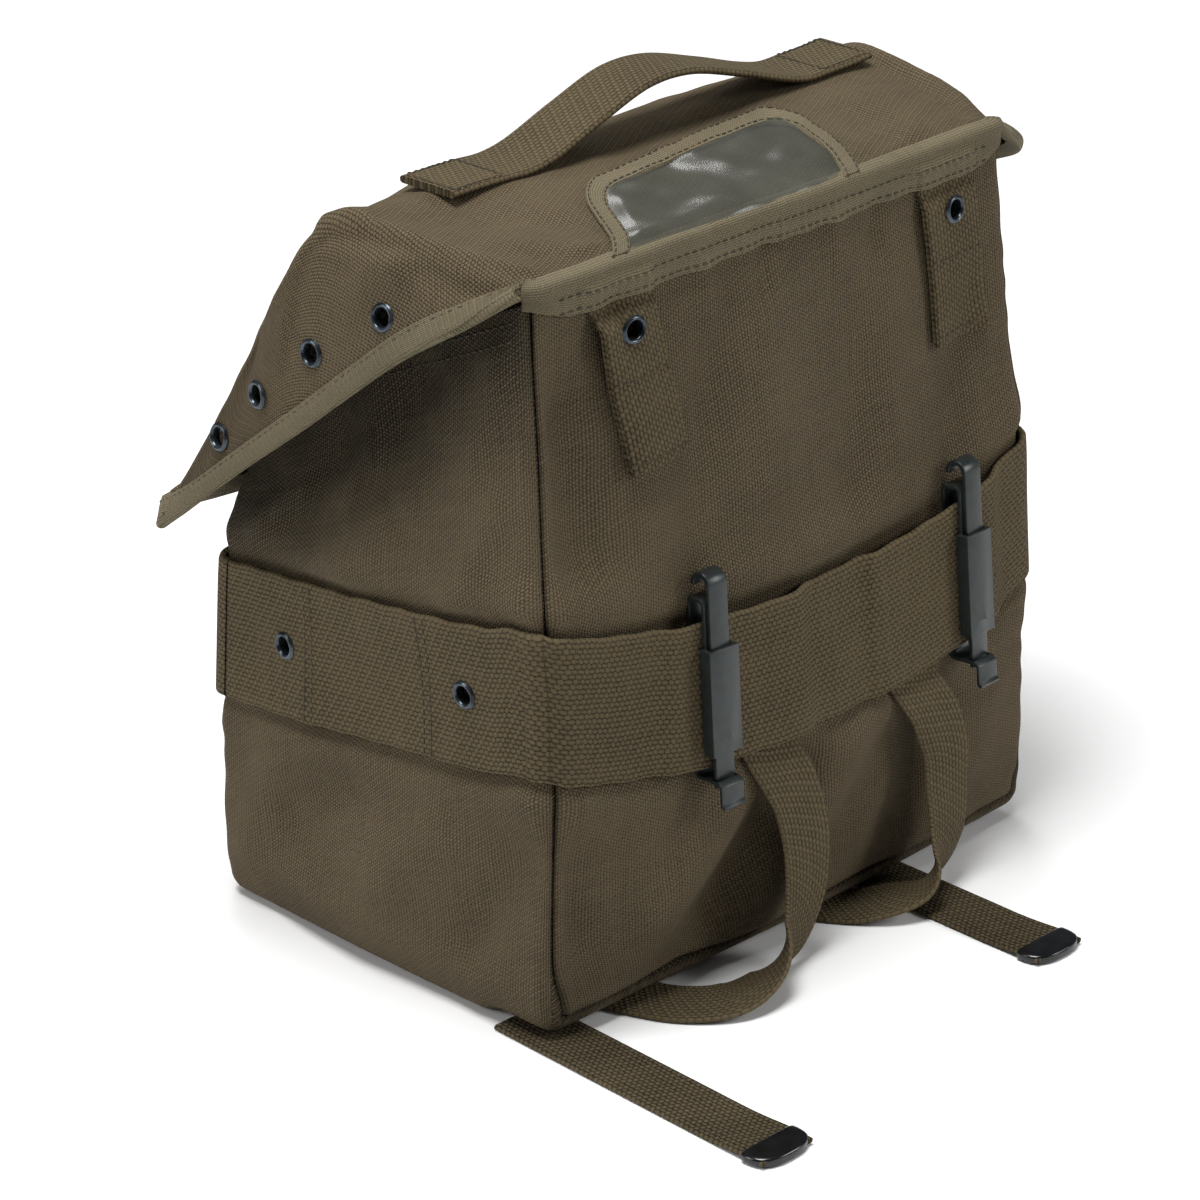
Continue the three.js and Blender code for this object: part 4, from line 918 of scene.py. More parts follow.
# %% Strips
def sweep(name, sections, along, across, material, loop=False, wear_and_shade=0.0):
    """sections is stations x points x 3 in mm; across gives each point's place over the width."""
    stations, count = sections.shape[:2]
    runs = stations if loop else stations - 1
    index = np.arange(stations * count).reshape(stations, count)
    i, j = np.meshgrid(np.arange(runs), np.arange(count), indexing="ij")
    following, beside = (i + 1) % stations, (j + 1) % count
    faces = np.stack([index[i, j], index[i, beside], index[following, beside], index[following, j]], -1)
    far = along[np.minimum(i + 1, len(along) - 1)]
    uvs = np.stack([
        np.stack([along[i], across[j]], -1), np.stack([along[i], across[beside]], -1),
        np.stack([far, across[beside]], -1), np.stack([far, across[j]], -1),
    ], -2)
    faces, uvs = faces.reshape(-1, 4).tolist(), uvs.reshape(-1, 4, 2).tolist()
    if not loop:
        for station, turned in ((0, False), (stations - 1, True)):
            for j in range(count // 2 - 1):
                four = [j, count - 1 - j, count - 2 - j, j + 1]
                four = four[::-1] if turned else four
                faces.append([int(index[station, k]) for k in four])
                uvs.append([[float(along[station]), float(across[k])] for k in four])
    worn_and_shaded = np.broadcast_to(wear_and_shade, (stations, count)).ravel()
    return finish_mesh(name, sections.reshape(-1, 3), faces, uvs, worn_and_shaded, material)


def strip_profile(width, thickness, steps=10, groove=0.0):
    """Half a section on top and half below: place over the width, and height over the thickness."""
    radius = thickness / 2
    turns = np.radians([90, 60, 30, 5])
    edge = [(-width / 2 + radius - radius * math.sin(t), radius + radius * math.cos(t)) for t in turns]
    flat = [(a, thickness) for a in np.linspace(-width / 2 + radius, width / 2 - radius, steps)]
    top = edge + flat[1:-1] + [(-a, h) for a, h in edge[::-1]]
    top = np.array(top)
    dip = groove * np.exp(-(((np.abs(top[:, 0]) - width / 2 + 2.2) / 0.9) ** 2))
    top[:, 1] -= dip
    bottom = top[::-1].copy()
    bottom[:, 1] = thickness - bottom[:, 1]
    bottom[0, 1] -= 0.02
    bottom[-1, 1] -= 0.02
    return np.concatenate([top, bottom])


def binding_profile(depth, gap, wall, bulge=0.0):
    """Tape folded over an edge: distance in from the edge, and height over the cloth's middle."""
    turns = np.radians(np.linspace(90, -90, 9))

    def side(half):
        straight = [(d, half + bulge * math.sin(math.pi * d / depth)) for d in np.linspace(depth, 0.6, 6)]
        bend = [(-CLEARANCE * 0.5 - half * math.cos(t) * 0.75, half * math.sin(t)) for t in turns]
        return straight + bend + [(d, -h) for d, h in straight[::-1]]

    outer, inner = side(gap + wall), side(gap)
    return np.array(outer + inner[::-1])


print("strip section has", len(strip_profile(20, 2)), "points")

# %% [markdown]
# The lid's edge is bound with folded twill tape. At each station the tape's own directions are
# taken from the lid: inwards over the cloth, and straight out of it. The tape puckers a little
# between its stitches.

# %% Lid tape
def tape_frames(stations):
    """Edge point, outward direction and inward runs at each (across, down) of the lid's edge."""
    frames = []
    for across, down in stations:
        edge = lid_flat(across, down)
        normal = lid_point(across, down, 1.0) - edge
        neighbours = []
        if abs(across) == 1:
            neighbours.append((across * LID_WING, down))
        if down == LID_END:
            neighbours.append((across, LID_END - 1 / 3))
        runs = []
        for a, d in neighbours:
            inner = lid_flat(a, d)
            runs.append((inner - edge, lid_point(a, d, 1.0) - inner))
        frames.append((edge, normal, runs))
    return frames


def tape_place(frame_at, depth, height):
    edge, normal, runs = frame_at
    point, out = edge.copy(), normal.copy()
    for along, lean in runs:
        share = depth / np.linalg.norm(along)
        point = point + along * share
        weight = np.clip(share, 0, 1) / len(runs)
        out = out * (1 - weight) + lean * weight
    return point + out / np.linalg.norm(out) * height


def make_lid_tape():
    down = np.linspace(0.0, LID_END, 120)
    hem = np.concatenate([np.linspace(-1, -LID_WING, 14), np.linspace(-LID_WING, LID_WING, 90)[1:-1],
                          np.linspace(LID_WING, 1, 14)])
    stations = [(-1.0, float(d)) for d in down[:-1]]
    stations += [(float(a), float(LID_END)) for a in hem]
    stations += [(1.0, float(d)) for d in down[:-1][::-1]]
    frames = tape_frames(stations)
    along = arc_lengths(np.array([edge for edge, _, _ in frames]))
    profile = binding_profile(TAPE_DEPTH, CLOTH / 2 + 0.2, TAPE_WALL, 0.25)
    pucker = 0.22 * np.sin(along / 1.35 + 1.2 * np.sin(along / 11))
    sections = []
    for frame_at, lift in zip(frames, pucker):
        sections.append([
            tape_place(frame_at, d, h + math.copysign(lift, h) * 0.6 * (1 if d > 0 else 0.2))
            for d, h in profile
        ])
    piece = sweep("lid_tape_binding", np.array(sections), along, profile[:, 0], twill,
                  wear_and_shade=np.exp(-((profile[:, 0] + 1) / 1.6) ** 2) * 0.08)
    replace(piece, "lid_tape")
    return frames


lid_frames = make_lid_tape()

# %% [markdown]
# The same tape covers the seam where the lid is sewn to the back panel, and frames the window on
# three sides.

# %% Seam tape and window
def laid(x, y, z, offset=0.0):
    """A place on the belt face for what is sewn on top of it, without the tucks at the seams."""
    return skin(x, y, z, "back", offset, FAR_FROM_SEAM)


TAB_TOPS = {"near": -0.665, "far": 0.700}


def over_tab(x):
    """The seam tape runs over the tabs' pressed tops."""
    rise = [ease((TAB_WIDTH / 2 + 2.5 - np.abs(x - top * HALF_WIDTH)) / 2.5) for top in TAB_TOPS.values()]
    return 1.9 * np.maximum(rise[0], rise[1])


def make_seam_tape():
    reach = HALF_WIDTH + 5.0
    x = lines(-reach, reach, 2.0)
    face = CLEARANCE + TAPE_WALL
    outer = np.array([
        *[(face, -h) for h in (7.0, 6.4, 5.0, 3.5, 2.0, 0.8)],
        (face + 0.3, 0.8), (face + 0.6, 2.0), (face + 0.6, 3.1),
        (face, 4.0), (-0.5, 4.4), (-2.4, 4.6), (-4.0, 4.6), (-4.6, 4.3),
    ])
    inner = np.array([
        *[(0.15, -h) for h in (7.0, 6.4, 5.0, 3.5, 2.0, 0.8)], (0.5, 0.8), (1.0, 2.0), (0.95, 3.0),
        (0.5, 3.5), (-0.6, 3.7), (-2.4, 3.85), (-4.0, 3.85), (-4.4, 3.9),
    ])
    outline = np.concatenate([outer, inner[::-1]])
    wave = 0.35 * np.sin(x / 2.6 + 1.4 * np.sin(x / 13.0))
    sections = []
    for number, place_x in enumerate(x):
        section = []
        for offset, height in outline:
            low = ease(-height / 1.5)
            if height < 0:
                height = height * (1 - 0.60 * ease((abs(place_x) - HALF_WIDTH + 16) / 16))
            sag = wave[number] * (0.5 if height < -3 else 0.1)
            level = np.array(BACK_HEIGHT + min(height, 0.0) + sag)
            point = laid(np.array(place_x), np.array(-HALF_DEPTH), level, offset + over_tab(place_x) * low)
            point[2] += max(height, 0.0)
            section.append(point)
        sections.append(section)
    sections = np.array(sections)
    piece = sweep("seam_tape_binding", sections, x - x[0], outline[:, 1] - outline[:, 0] * 0.4, twill)
    replace(piece, "seam_tape")


make_seam_tape()

WINDOW = dict(
    low_left=(-0.545, 0.03), high_left=(-0.300, 2.05), high_right=(0.345, 2.35), low_right=(0.275, 0.04))
FRAME_TAPE, WINDOW_THICKNESS = 6.5, 0.5


def window_point(across, height, offset=0.0):
    across, height = np.broadcast_arrays(np.asarray(across, float), np.asarray(height, float))
    picked = []
    for key in (0, 1):
        low = WINDOW["low_left"][key] + (WINDOW["low_right"][key] - WINDOW["low_left"][key]) * across
        high = WINDOW["high_left"][key] + (WINDOW["high_right"][key] - WINDOW["high_left"][key]) * across
        picked.append(low + (high - low) * height)
    return lid_point(picked[0], picked[1], lid_relief(picked[0], picked[1]) + offset)


WINDOW_SPAN = np.linalg.norm(window_point(0, 0.5) - window_point(1, 0.5))
WINDOW_TALL = np.linalg.norm(window_point(0.5, 0) - window_point(0.5, 1))
WINDOW_LIFT = CLOTH / 2 + 0.15


def make_window():
    side, top = FRAME_TAPE * 0.45 / WINDOW_SPAN, FRAME_TAPE * 0.45 / WINDOW_TALL
    across, height = np.meshgrid(np.linspace(side, 1 - side, 96), np.linspace(0.0, 1 - top, 64))
    held = ease(np.minimum(across - side, 1 - side - across) * 12)
    held = held * ease(np.minimum(height, 1 - top - height) * 10)
    slant = across * 70 + height * 34
    waves = 0.7 * np.sin(slant / 4.4 + 1.6 * np.sin(across * 9 + height * 2))
    waves = waves + ripple(across * 70, height * 34, 42, 18.0, 1.6)
    lift = WINDOW_LIFT + held * (1.0 + 0.55 * waves)
    outer = window_point(across, height, lift + 0.3)
    inner = window_point(across, height, lift)
    uv = np.stack([across * WINDOW_SPAN, height * WINDOW_TALL], -1)
    piece = cloth_sheet("window_vinyl", outer, inner, uv, 0.0, vinyl)
    replace(piece, "window")


def window_outline():
    """Points round three sides of the window, with rounded upper corners."""
    turn = 0.12
    points = [(0.0, u) for u in np.linspace(0, 1 - turn * 2, 34)]
    for angle in np.linspace(0, math.pi / 2, 10)[1:-1]:
        points.append((turn * (1 - math.cos(angle)), 1 - turn * 2 * (1 - math.sin(angle))))
    points += [(a, 1.0) for a in np.linspace(turn, 1 - turn, 48)]
    for angle in np.linspace(math.pi / 2, 0, 10)[1:-1]:
        points.append((1 - turn * (1 - math.cos(angle)), 1 - turn * 2 * (1 - math.sin(angle))))
    points += [(1.0, u) for u in np.linspace(1 - turn * 2, 0, 34)]
    return np.array(points)


def window_tape_place(outline, inward, offset):
    """A place on the window's tape: inward runs from 0 at its outer edge to 1 at its inner."""
    side, top = FRAME_TAPE / WINDOW_SPAN, FRAME_TAPE / WINDOW_TALL
    across = outline[..., 0] + inward * (side * (1 - 2 * outline[..., 0]))
    height = outline[..., 1] * (1 - inward * top)
    return window_point(across, height, offset)


def make_window_tape():
    outline = window_outline()
    along = arc_lengths(window_tape_place(outline, 0.5, 0.0))
    low = WINDOW_LIFT + 0.35
    pucker = 0.16 * np.sin(along / 1.3 + 1.3 * np.sin(along / 9))
    profile = [(0.0, low + 0.1), (0.02, low + 0.7), (0.10, low + 1.0), (0.25, low + 1.1), (0.4, low + 1.0),
               (0.55, low + 1.0), (0.7, low + 1.1), (0.9, low + 1.0), (0.98, low + 0.7), (1.0, low + 0.1)]
    shape = np.array(profile + [(s, low - 0.05 if 0 < s < 1 else low) for s, _ in profile[::-1]])
    sections = np.stack([
        window_tape_place(outline, s, h + pucker * (0.5 if h > low + 0.5 else 0)) for s, h in shape], 1)
    piece = sweep("window_tape_binding", sections, along, shape[:, 0] * FRAME_TAPE, twill)
    replace(piece, "window_tape")


make_window()
make_window_tape()

# %% [markdown]
# The wide band is open cotton webbing that sags between the corners. The keepers and the hanging
# loops pass behind it, so there it stands off the back panel.

# %% Band
SIDE_ROOM, STANDOFF_FADE, STANDOFF_MARGIN = 0.5, 9.0, 0.65
LOOP_CENTRES = {"near": -0.223, "far": 0.384}
KEEPER_CENTRES = {"near": -0.440, "far": 0.640}
BAND_LIFT = 4 * CLEARANCE + STRAP_THICKNESS


def band_standoff(x, y):
    back_share = ease((PLAIN_CORNER - HALF_DEPTH - y) / PLAIN_CORNER + 1)
    raised = 0.0 * x
    for low, high in ((KEEPER_CENTRES["near"], LOOP_CENTRES["near"]),
                      (LOOP_CENTRES["far"], KEEPER_CENTRES["far"])):
        start = low * HALF_WIDTH - STRAP_WIDTH * STANDOFF_MARGIN
        end = high * HALF_WIDTH + STRAP_WIDTH * STANDOFF_MARGIN
        raised = np.maximum(raised, ease((x - start) / STANDOFF_FADE + 1) * ease((end - x) / STANDOFF_FADE + 1))
    return CLEARANCE * 2 + SIDE_ROOM + (raised * (BAND_LIFT - CLEARANCE) - SIDE_ROOM) * back_share


def band_point(x, y, rise, offset):
    z = band_line(x, y) + rise
    quiet = broad_relief(x, y, band_line(x, y))
    return body_point(x, y, z, band_standoff(x, y) + quiet + offset)


def band_route():
    """Sharp-box places round the bag, close together at the corners.

    Known flaw: both runs at the front left corner and the side's run at the back left corner take
    their close places in the wrong order. The strip folds back on itself there by about 6 mm each
    time, and its length comes out too long.
    """
    turn = np.array([7.0, 5.5, 4.2, 3.0, 1.9, 0.9])
    side_x, side_y = HALF_WIDTH - 9, HALF_DEPTH - 9
    route = [(x, -HALF_DEPTH) for x in lines(-side_x, side_x)]
    route += [(HALF_WIDTH - t, -HALF_DEPTH) for t in turn] + [(HALF_WIDTH, -HALF_DEPTH)]
    route += [(HALF_WIDTH, t - HALF_DEPTH) for t in turn[::-1]]
    route += [(HALF_WIDTH, y) for y in lines(-side_y, side_y)]
    route += [(HALF_WIDTH, HALF_DEPTH - t) for t in turn] + [(HALF_WIDTH, HALF_DEPTH)]
    route += [(HALF_WIDTH - t, HALF_DEPTH) for t in turn[::-1]]
    route += [(x, HALF_DEPTH) for x in lines(-side_x, side_x)[::-1]]
    route += [(t - HALF_WIDTH, HALF_DEPTH) for t in turn[::-1]] + [(-HALF_WIDTH, HALF_DEPTH)]
    route += [(-HALF_WIDTH, HALF_DEPTH - t) for t in turn]
    route += [(-HALF_WIDTH, y) for y in lines(-side_y, side_y)[::-1]]
    route += [(-HALF_WIDTH, t - HALF_DEPTH) for t in turn[::-1]] + [(-HALF_WIDTH, -HALF_DEPTH)]
    route += [(t - HALF_WIDTH, -HALF_DEPTH) for t in turn[::-1]]
    return np.array(route)


def make_band():
    route = band_route()
    profile = strip_profile(BAND_WIDTH, BAND_THICKNESS, 16, 0.15)
    x, y = route[:, 0][:, None], route[:, 1][:, None]
    on_edge = np.sign(profile[:, 0]) * (np.abs(profile[:, 0]) > 20)
    ragged = 0.35 * np.sin(np.arange(len(route)) * 0.9)[:, None] * on_edge
    sections = band_point(x, y, profile[:, 0] + ragged * 0.5, profile[:, 1])
    middle = band_point(route[:, 0], route[:, 1], 0.0, 0.0)
    along = arc_lengths(np.concatenate([middle, middle[:1]]))
    edge = 0.10 * np.exp(-(((np.abs(profile[:, 0]) - BAND_WIDTH / 2) / 1.0) ** 2))
    piece = sweep("band_webbing", sections, along, profile[:, 0], webbing, loop=True, wear_and_shade=edge)
    return piece, along


def band_seats(side):
    def face(y, rise, offset):
        x = np.array(side * HALF_WIDTH)
        return band_point(x, np.array(y), rise * BAND_WIDTH / 2, BAND_THICKNESS / 2 + offset)
    return [seat_on(face, y, 0.02) for y in (-0.58 * HALF_DEPTH, 0.50 * HALF_DEPTH)]


band, band_along = make_band()
band_eyelets = {"left": band_seats(-1), "right": band_seats(1)}
cut_holes(band, band_eyelets["left"] + band_eyelets["right"])
replace(band, "band")

# %% [markdown]
# Two short tabs of doubled webbing hang from the seam, each with one eyelet. Their free ends
# stand a little off the panel.

# %% Tabs
TABS = {
    "near": dict(high=TAB_TOPS["near"], low=-0.560, standoff=3.2),
    "far": dict(high=TAB_TOPS["far"], low=0.735, standoff=1.0),
}


def tab_point(tab, rise, across, offset):
    rise, across = np.broadcast_arrays(np.asarray(rise, float), np.asarray(across, float))
    x = HALF_WIDTH * (tab["low"] + (tab["high"] - tab["low"]) * rise) + across * TAB_WIDTH / 2
    z = BACK_HEIGHT - TAPE_DEPTH * 0.4 - TAB_LENGTH * (1 - rise)
    pressed = 1 - ease((rise - 0.78) / 0.09)
    lift = tab["standoff"] * ease((rise - 0.2) * 1.6) * ease(0.7 - across * 0.7) * pressed
    return laid(x, -HALF_DEPTH + 0 * x, z, CLEARANCE * 0.5 + lift + offset)


def make_tab(name):
    tab = TABS[name]
    profile = strip_profile(TAB_WIDTH, TAB_THICKNESS, 12, 0.25)
    # The side edges are pressed in between the two layers of webbing.
    on_edge = np.sign(profile[:, 0]) * (np.abs(profile[:, 0]) > TAB_WIDTH / 2 - 2)
    profile[:, 0] -= 0.6 * on_edge * np.exp(-(((profile[:, 1] - TAB_THICKNESS / 2) / 0.5) ** 2))
    rises = np.concatenate([[0.0, 0.008, 0.02], np.linspace(0.04, 1, 40)])
    thin = np.concatenate([[0.55, 0.82, 0.96], np.ones(40)])
    heights = (profile[:, 1] - TAB_THICKNESS / 2)[None] * thin[:, None] + TAB_THICKNESS / 2
    heights = heights * (1 - 0.52 * ease((rises - 0.82) / 0.06))[:, None]
    sections = tab_point(tab, rises[:, None], (profile[:, 0] * 2 / TAB_WIDTH)[None], heights)
    piece = sweep(f"tab_{name}_webbing", sections, rises * TAB_LENGTH, profile[:, 0], webbing)
    seat = seat_on(lambda u, v, h: tab_point(tab, u, v, TAB_THICKNESS / 2 + h), 0.76, 0.0)
    cut_holes(piece, [seat])
    replace(piece, f"tab_{name}")
    return seat


tab_seats = {name: make_tab(name) for name in TABS}

# %% [markdown]
# The carry handle, the two hanging loops and the straps on the ground are free webbing. Each runs
# through a few stations that hold a place and the direction across the strip.

# %% Free webbing
def spline(points, shares):
    """Centripetal curve through points, at shares from 0 to 1 of its stations."""
    last = len(points) - 1
    position = np.clip(shares * last, 0, last)
    index = np.clip(np.floor(position).astype(int), 0, last - 1)
    weight = (position - index)[:, None]
    padded = np.concatenate([[2 * points[0] - points[1]], points, [2 * points[-1] - points[-2]]])
    p0, p1, p2, p3 = (padded[index + step] for step in range(4))
    pairs = ((p0, p1), (p1, p2), (p2, p3))
    d0, d1, d2 = (np.sqrt(np.linalg.norm(b - a, axis=1, keepdims=True)) for a, b in pairs)
    t1 = ((p1 - p0) / d0 - (p2 - p0) / (d0 + d1) + (p2 - p1) / d1) * d1
    t2 = ((p2 - p1) / d1 - (p3 - p1) / (d1 + d2) + (p3 - p2) / d2) * d1
    c2, c3 = -3 * p1 + 3 * p2 - 2 * t1 - t2, 2 * p1 - 2 * p2 + t1 + t2
    return p1 + t1 * weight + c2 * weight**2 + c3 * weight**3


def ribbon_frames(stations, step=1.6):
    places = np.array([place for place, _ in stations], float)
    sides = np.array([side for _, side in stations], float)
    last = len(stations) - 1
    rough = arc_lengths(spline(places, np.linspace(0, 1, 400)))
    shares = np.interp(np.arange(0, rough[-1], step), rough, np.linspace(0, 1, 400))
    shares = np.append(shares, 1.0)
    middle = spline(places, shares)
    tangent = spline(places, np.clip(shares + 1e-4, 0, 1)) - spline(places, np.clip(shares - 1e-4, 0, 1))
    tangent /= np.linalg.norm(tangent, axis=1, keepdims=True)
    position = shares * last
    index = np.clip(np.floor(position).astype(int), 0, last - 1)
    across = sides[index] + (sides[index + 1] - sides[index]) * (position - index)[:, None]
    across -= (across * tangent).sum(1, keepdims=True) * tangent
    across /= np.linalg.norm(across, axis=1, keepdims=True)
    return middle, across, np.cross(tangent, across)


def ribbon(name, stations, width, thickness, faded=0.0):
    middle, across, normal = ribbon_frames(stations)
    profile = strip_profile(width, thickness, 9, 0.12)
    profile[:, 1] -= thickness / 2
    sections = (middle[:, None] + across[:, None] * profile[None, :, 0, None]
                + normal[:, None] * profile[None, :, 1, None])
    along = arc_lengths(middle)
    edge = 0.10 * np.exp(-(((np.abs(profile[:, 0]) - width / 2) / 0.8) ** 2))
    # faded shifts the whole strip's colour; the straps pass a negative value as painted shade.
    piece = sweep(name, sections, along, profile[:, 0], webbing, wear_and_shade=edge + faded)
    return piece, float(along[-1])


HANDLE_ROW = 2.82
HANDLE_ARCH = [(0.08, 0.10), (0.25, 0.58), (0.42, 1.00), (0.56, 1.00), (0.76, 0.56), (0.92, 0.14)]


def handle_stations():
    lift = CLOTH / 2 + CLEARANCE + HANDLE_THICKNESS / 2
    side = np.array([0.0, 1.0, 0.0])
    left, right = (
        [lid_point(a, HANDLE_ROW, lift + lid_relief(np.array(a), np.array(HANDLE_ROW))) for a in places]
        for places in ((-0.510, -0.440, -0.370, -0.310), (0.465, 0.525, 0.585, 0.645)))
    arch = []
    for along, rise in HANDLE_ARCH:
        place = left[-1] + (right[0] - left[-1]) * along
        place[2] += rise * HANDLE_RISE
        arch.append(place)
    return [(place, side) for place in left + arch + right]


handle, handle_length = ribbon("handle_webbing", handle_stations(), HANDLE_WIDTH, HANDLE_THICKNESS)
replace(handle, "handle")

LOOPS = {
    "near": dict(end=[(-0.640, 7.0), (-0.665, RELIEF_LENGTH - 11)], route=[
        (-0.155, 0.26, 0.60, (1.00, 0.00, -0.08)), (-0.128, 0.34, 0.43, (0.98, 0.00, -0.20)),
        (-0.143, 0.39, 0.26, (0.93, 0.08, -0.36)), (-0.214, 0.47, 0.135, (0.78, 0.30, -0.50)),
        (-0.339, 0.55, 0.065, (0.62, 0.72, -0.16)), (-0.470, 0.50, 0.028, (0.56, 0.83, -0.02)),
        (-0.570, 0.12, 0.013, (0.60, 0.80, 0.00)),
    ]),
    "far": dict(end=[(0.110, 7.0), (0.075, RELIEF_LENGTH - 11)], route=[
        (0.435, 0.24, 0.64, (1.00, 0.00, -0.08)), (0.470, 0.30, 0.51, (0.99, 0.00, -0.14)),
        (0.466, 0.35, 0.38, (0.97, 0.04, -0.22)), (0.448, 0.43, 0.235, (0.90, 0.15, -0.38)),
        (0.402, 0.47, 0.130, (0.76, 0.45, -0.36)), (0.330, 0.46, 0.072, (0.64, 0.74, -0.16)),
        (0.245, 0.30, 0.046, (0.60, 0.80, -0.02)), (0.165, -0.10, 0.014, (0.62, 0.78, 0.00)),
    ]),
}


def loop_stations(name):
    centre = LOOP_CENTRES[name] * HALF_WIDTH
    behind = 2 * CLEARANCE + STRAP_THICKNESS / 2
    hang = BAND_HEIGHT - BAND_WIDTH / 2
    stations = []
    for z in (BAND_HEIGHT + BAND_WIDTH * 0.18, BAND_HEIGHT - BAND_WIDTH * 0.1, hang + 4):
        left, middle, right = (body_point(centre + shift, -HALF_DEPTH, z, behind)
                               for shift in (-STRAP_WIDTH / 2, 0, STRAP_WIDTH / 2))
        stations.append((middle, right - left))
    back = body_point(0.0, -HALF_DEPTH, hang)[1]
    for along, out, rise, across in LOOPS[name]["route"]:
        stations.append(((along * HALF_WIDTH, back - out * TAB_WIDTH, rise * BAND_HEIGHT), across))
    for (along, inset), across in zip(LOOPS[name]["end"], ((0.72, 0.69, 0), (0.86, 0.50, 0))):
        stations.append(((along * HALF_WIDTH, inset - HALF_DEPTH, STRAP_THICKNESS / 2 + FOOT_ROOM), across))
    return stations


for name in LOOPS:
    piece, length = ribbon(f"loop_{name}_webbing", loop_stations(name), STRAP_WIDTH, STRAP_THICKNESS)
    replace(piece, f"loop_{name}")

# %% [markdown]
# The straps lie on the ground and end in pressed metal tips with rounded ends.

# %% Straps and tips
STRAPS = {"near": (-0.925, -0.950), "far": (0.384, 0.374)}
TIP_GAP = TIP_WALL + CLEARANCE


def make_strap(name):
    root, end = STRAPS[name]
    end_y = TIP_GAP - HALF_DEPTH - STRAP_REACH[name]
    root_y = RELIEF_LENGTH - 11 - HALF_DEPTH
    flat = STRAP_THICKNESS / 2
    stations = []
    for y, rise in ((root_y, 0), (-HALF_DEPTH, 0), ((end_y - HALF_DEPTH) / 2, 0), (end_y + TIP_LENGTH * 2.6, 0),
                    (end_y + TIP_LENGTH * 1.8, TIP_GAP * 0.4), (end_y + TIP_LENGTH, TIP_GAP), (end_y, TIP_GAP)):
        share = (y - root_y) / (end_y - root_y)
        x = HALF_WIDTH * (root + (end - root) * share)
        stations.append(((x, y, flat + rise), (1, 0, 0)))
    # Painted shade: the straps are painted darker than the band.
    piece, length = ribbon(f"strap_{name}_webbing", stations, STRAP_WIDTH, STRAP_THICKNESS, -0.30)
    replace(piece, f"strap_{name}")
    return np.array([HALF_WIDTH * end, end_y])


def make_tip(name, end):
    """A flattened sleeve: outlines stacked from its mouth to its rounded end."""
    half = STRAP_WIDTH / 2 + TIP_GAP
    height = STRAP_THICKNESS + 2 * TIP_GAP
    turns = np.linspace(0, math.tau, 48, endpoint=False)
    rings = []
    # distance from the mouth, share of the half width and share of the thickness
    for out, wide, thick in ((-0.4, 0.90, 0.60), (0.0, 0.97, 0.92), (0.4, 1.0, 1.0), (2.2, 1.0, 1.0),
                             (4.0, 0.985, 1.0), (5.6, 0.94, 1.0), (6.8, 0.87, 0.98), (7.8, 0.76, 0.94),
                             (8.6, 0.62, 0.88), (9.1, 0.48, 0.80), (9.4, 0.33, 0.66), (9.6, 0.10, 0.2)):
        x = np.sign(np.cos(turns)) * np.abs(np.cos(turns)) ** 0.35 * half * wide
        z = np.sign(np.sin(turns)) * np.abs(np.sin(turns)) ** 0.55 * height / 2 * thick
        dent = 0.22 * np.exp(-((x / (half * 0.62)) ** 4)) * np.sign(z) * (0.8 if 1 < out < 8 else 0.2)
        y = np.full_like(x, end[1] + TIP_LENGTH - TIP_GAP - out)
        rings.append(np.stack([end[0] + x, y, height / 2 + z - dent], -1))
    sections = np.array(rings)
    along = np.arange(len(rings), dtype=float)
    piece = sweep(f"strap_tip_{name}_metal", sections, along, turns * 3, gloss_black)
    replace(piece, f"strap_tip_{name}")


for name in STRAPS:
    make_tip(name, make_strap(name))

# %% [markdown]
# An eyelet is a rolled ring on each side of the cloth, joined by a barrel. It is a lathe shape:
# one outline turned about the seat's axis.

# %% Eyelets
EYELET_SIDES = 40


def eyelet_outline(grip):
    """Radius and height of the ring's outline, for cloth of the given thickness."""
    half = grip / 2 + 0.15
    top = [(EYELET_HOLE - 0.1, 0.0), (EYELET_HOLE - 0.05, half - 0.1), (EYELET_HOLE + 0.15, half + 0.40),
           (EYELET_HOLE + 0.45, half + 0.70), (EYELET_HOLE + 0.80, half + 0.72),
           (EYELET_FLANGE - 0.35, half + 0.48),
           (EYELET_FLANGE, half + 0.10), (EYELET_FLANGE - 0.1, half - 0.1), (EYELET_HOLE + 0.35, half - 0.1),
           (EYELET_HOLE + 0.35, 0.0)]
    bottom = [(radius, -height) for radius, height in top[::-1]]
    return np.array(top + bottom[1:-1])


def make_eyelet(node, seat, grip):
    outline = eyelet_outline(grip)
    turns = np.linspace(0, math.tau, EYELET_SIDES, endpoint=False)
    rings = np.stack([
        np.stack([radius * np.cos(turns), radius * np.sin(turns), np.full_like(turns, height)], -1)
        for radius, height in outline
    ], 1)
    points = rings.reshape(-1, 3) @ seat[:3, :3].T + seat[:3, 3]
    count = len(outline)
    index = np.arange(len(turns) * count).reshape(len(turns), count)
    i, j = np.meshgrid(np.arange(len(turns)), np.arange(count), indexing="ij")
    following, beside = (i + 1) % len(turns), (j + 1) % count
    faces = np.stack([index[i, j], index[following, j], index[following, beside], index[i, beside]], -1)
    faces = faces.reshape(-1, 4)
    uvs = np.zeros((len(faces), 4, 2))
    unworn = np.zeros(len(points))
    piece = finish_mesh(node + "_ring", points, faces.tolist(), uvs.tolist(), unworn, black_brass)
    replace(piece, node)


for side in ("left", "right"):
    for number, seat in enumerate(lid_eyelets[side], 1):
        make_eyelet(f"lid_eyelet_{side}_{number}", seat, CLOTH)
    for number, seat in enumerate(band_eyelets[side], 1):
        make_eyelet(f"band_eyelet_{side}_{number}", seat, BAND_THICKNESS)
for name, seat in tab_seats.items():
    make_eyelet(f"tab_{name}_eyelet_1", seat, TAB_THICKNESS)

# %% [markdown]
# The keepers are hard pressed-steel pieces, and their solids already have the right shape. A copy
# of each is cleaned of its loose triangles and its edges are rounded with a bevel, because
# enamelled strip steel has no knife edges. The bars ride on bodies of their own and slide.

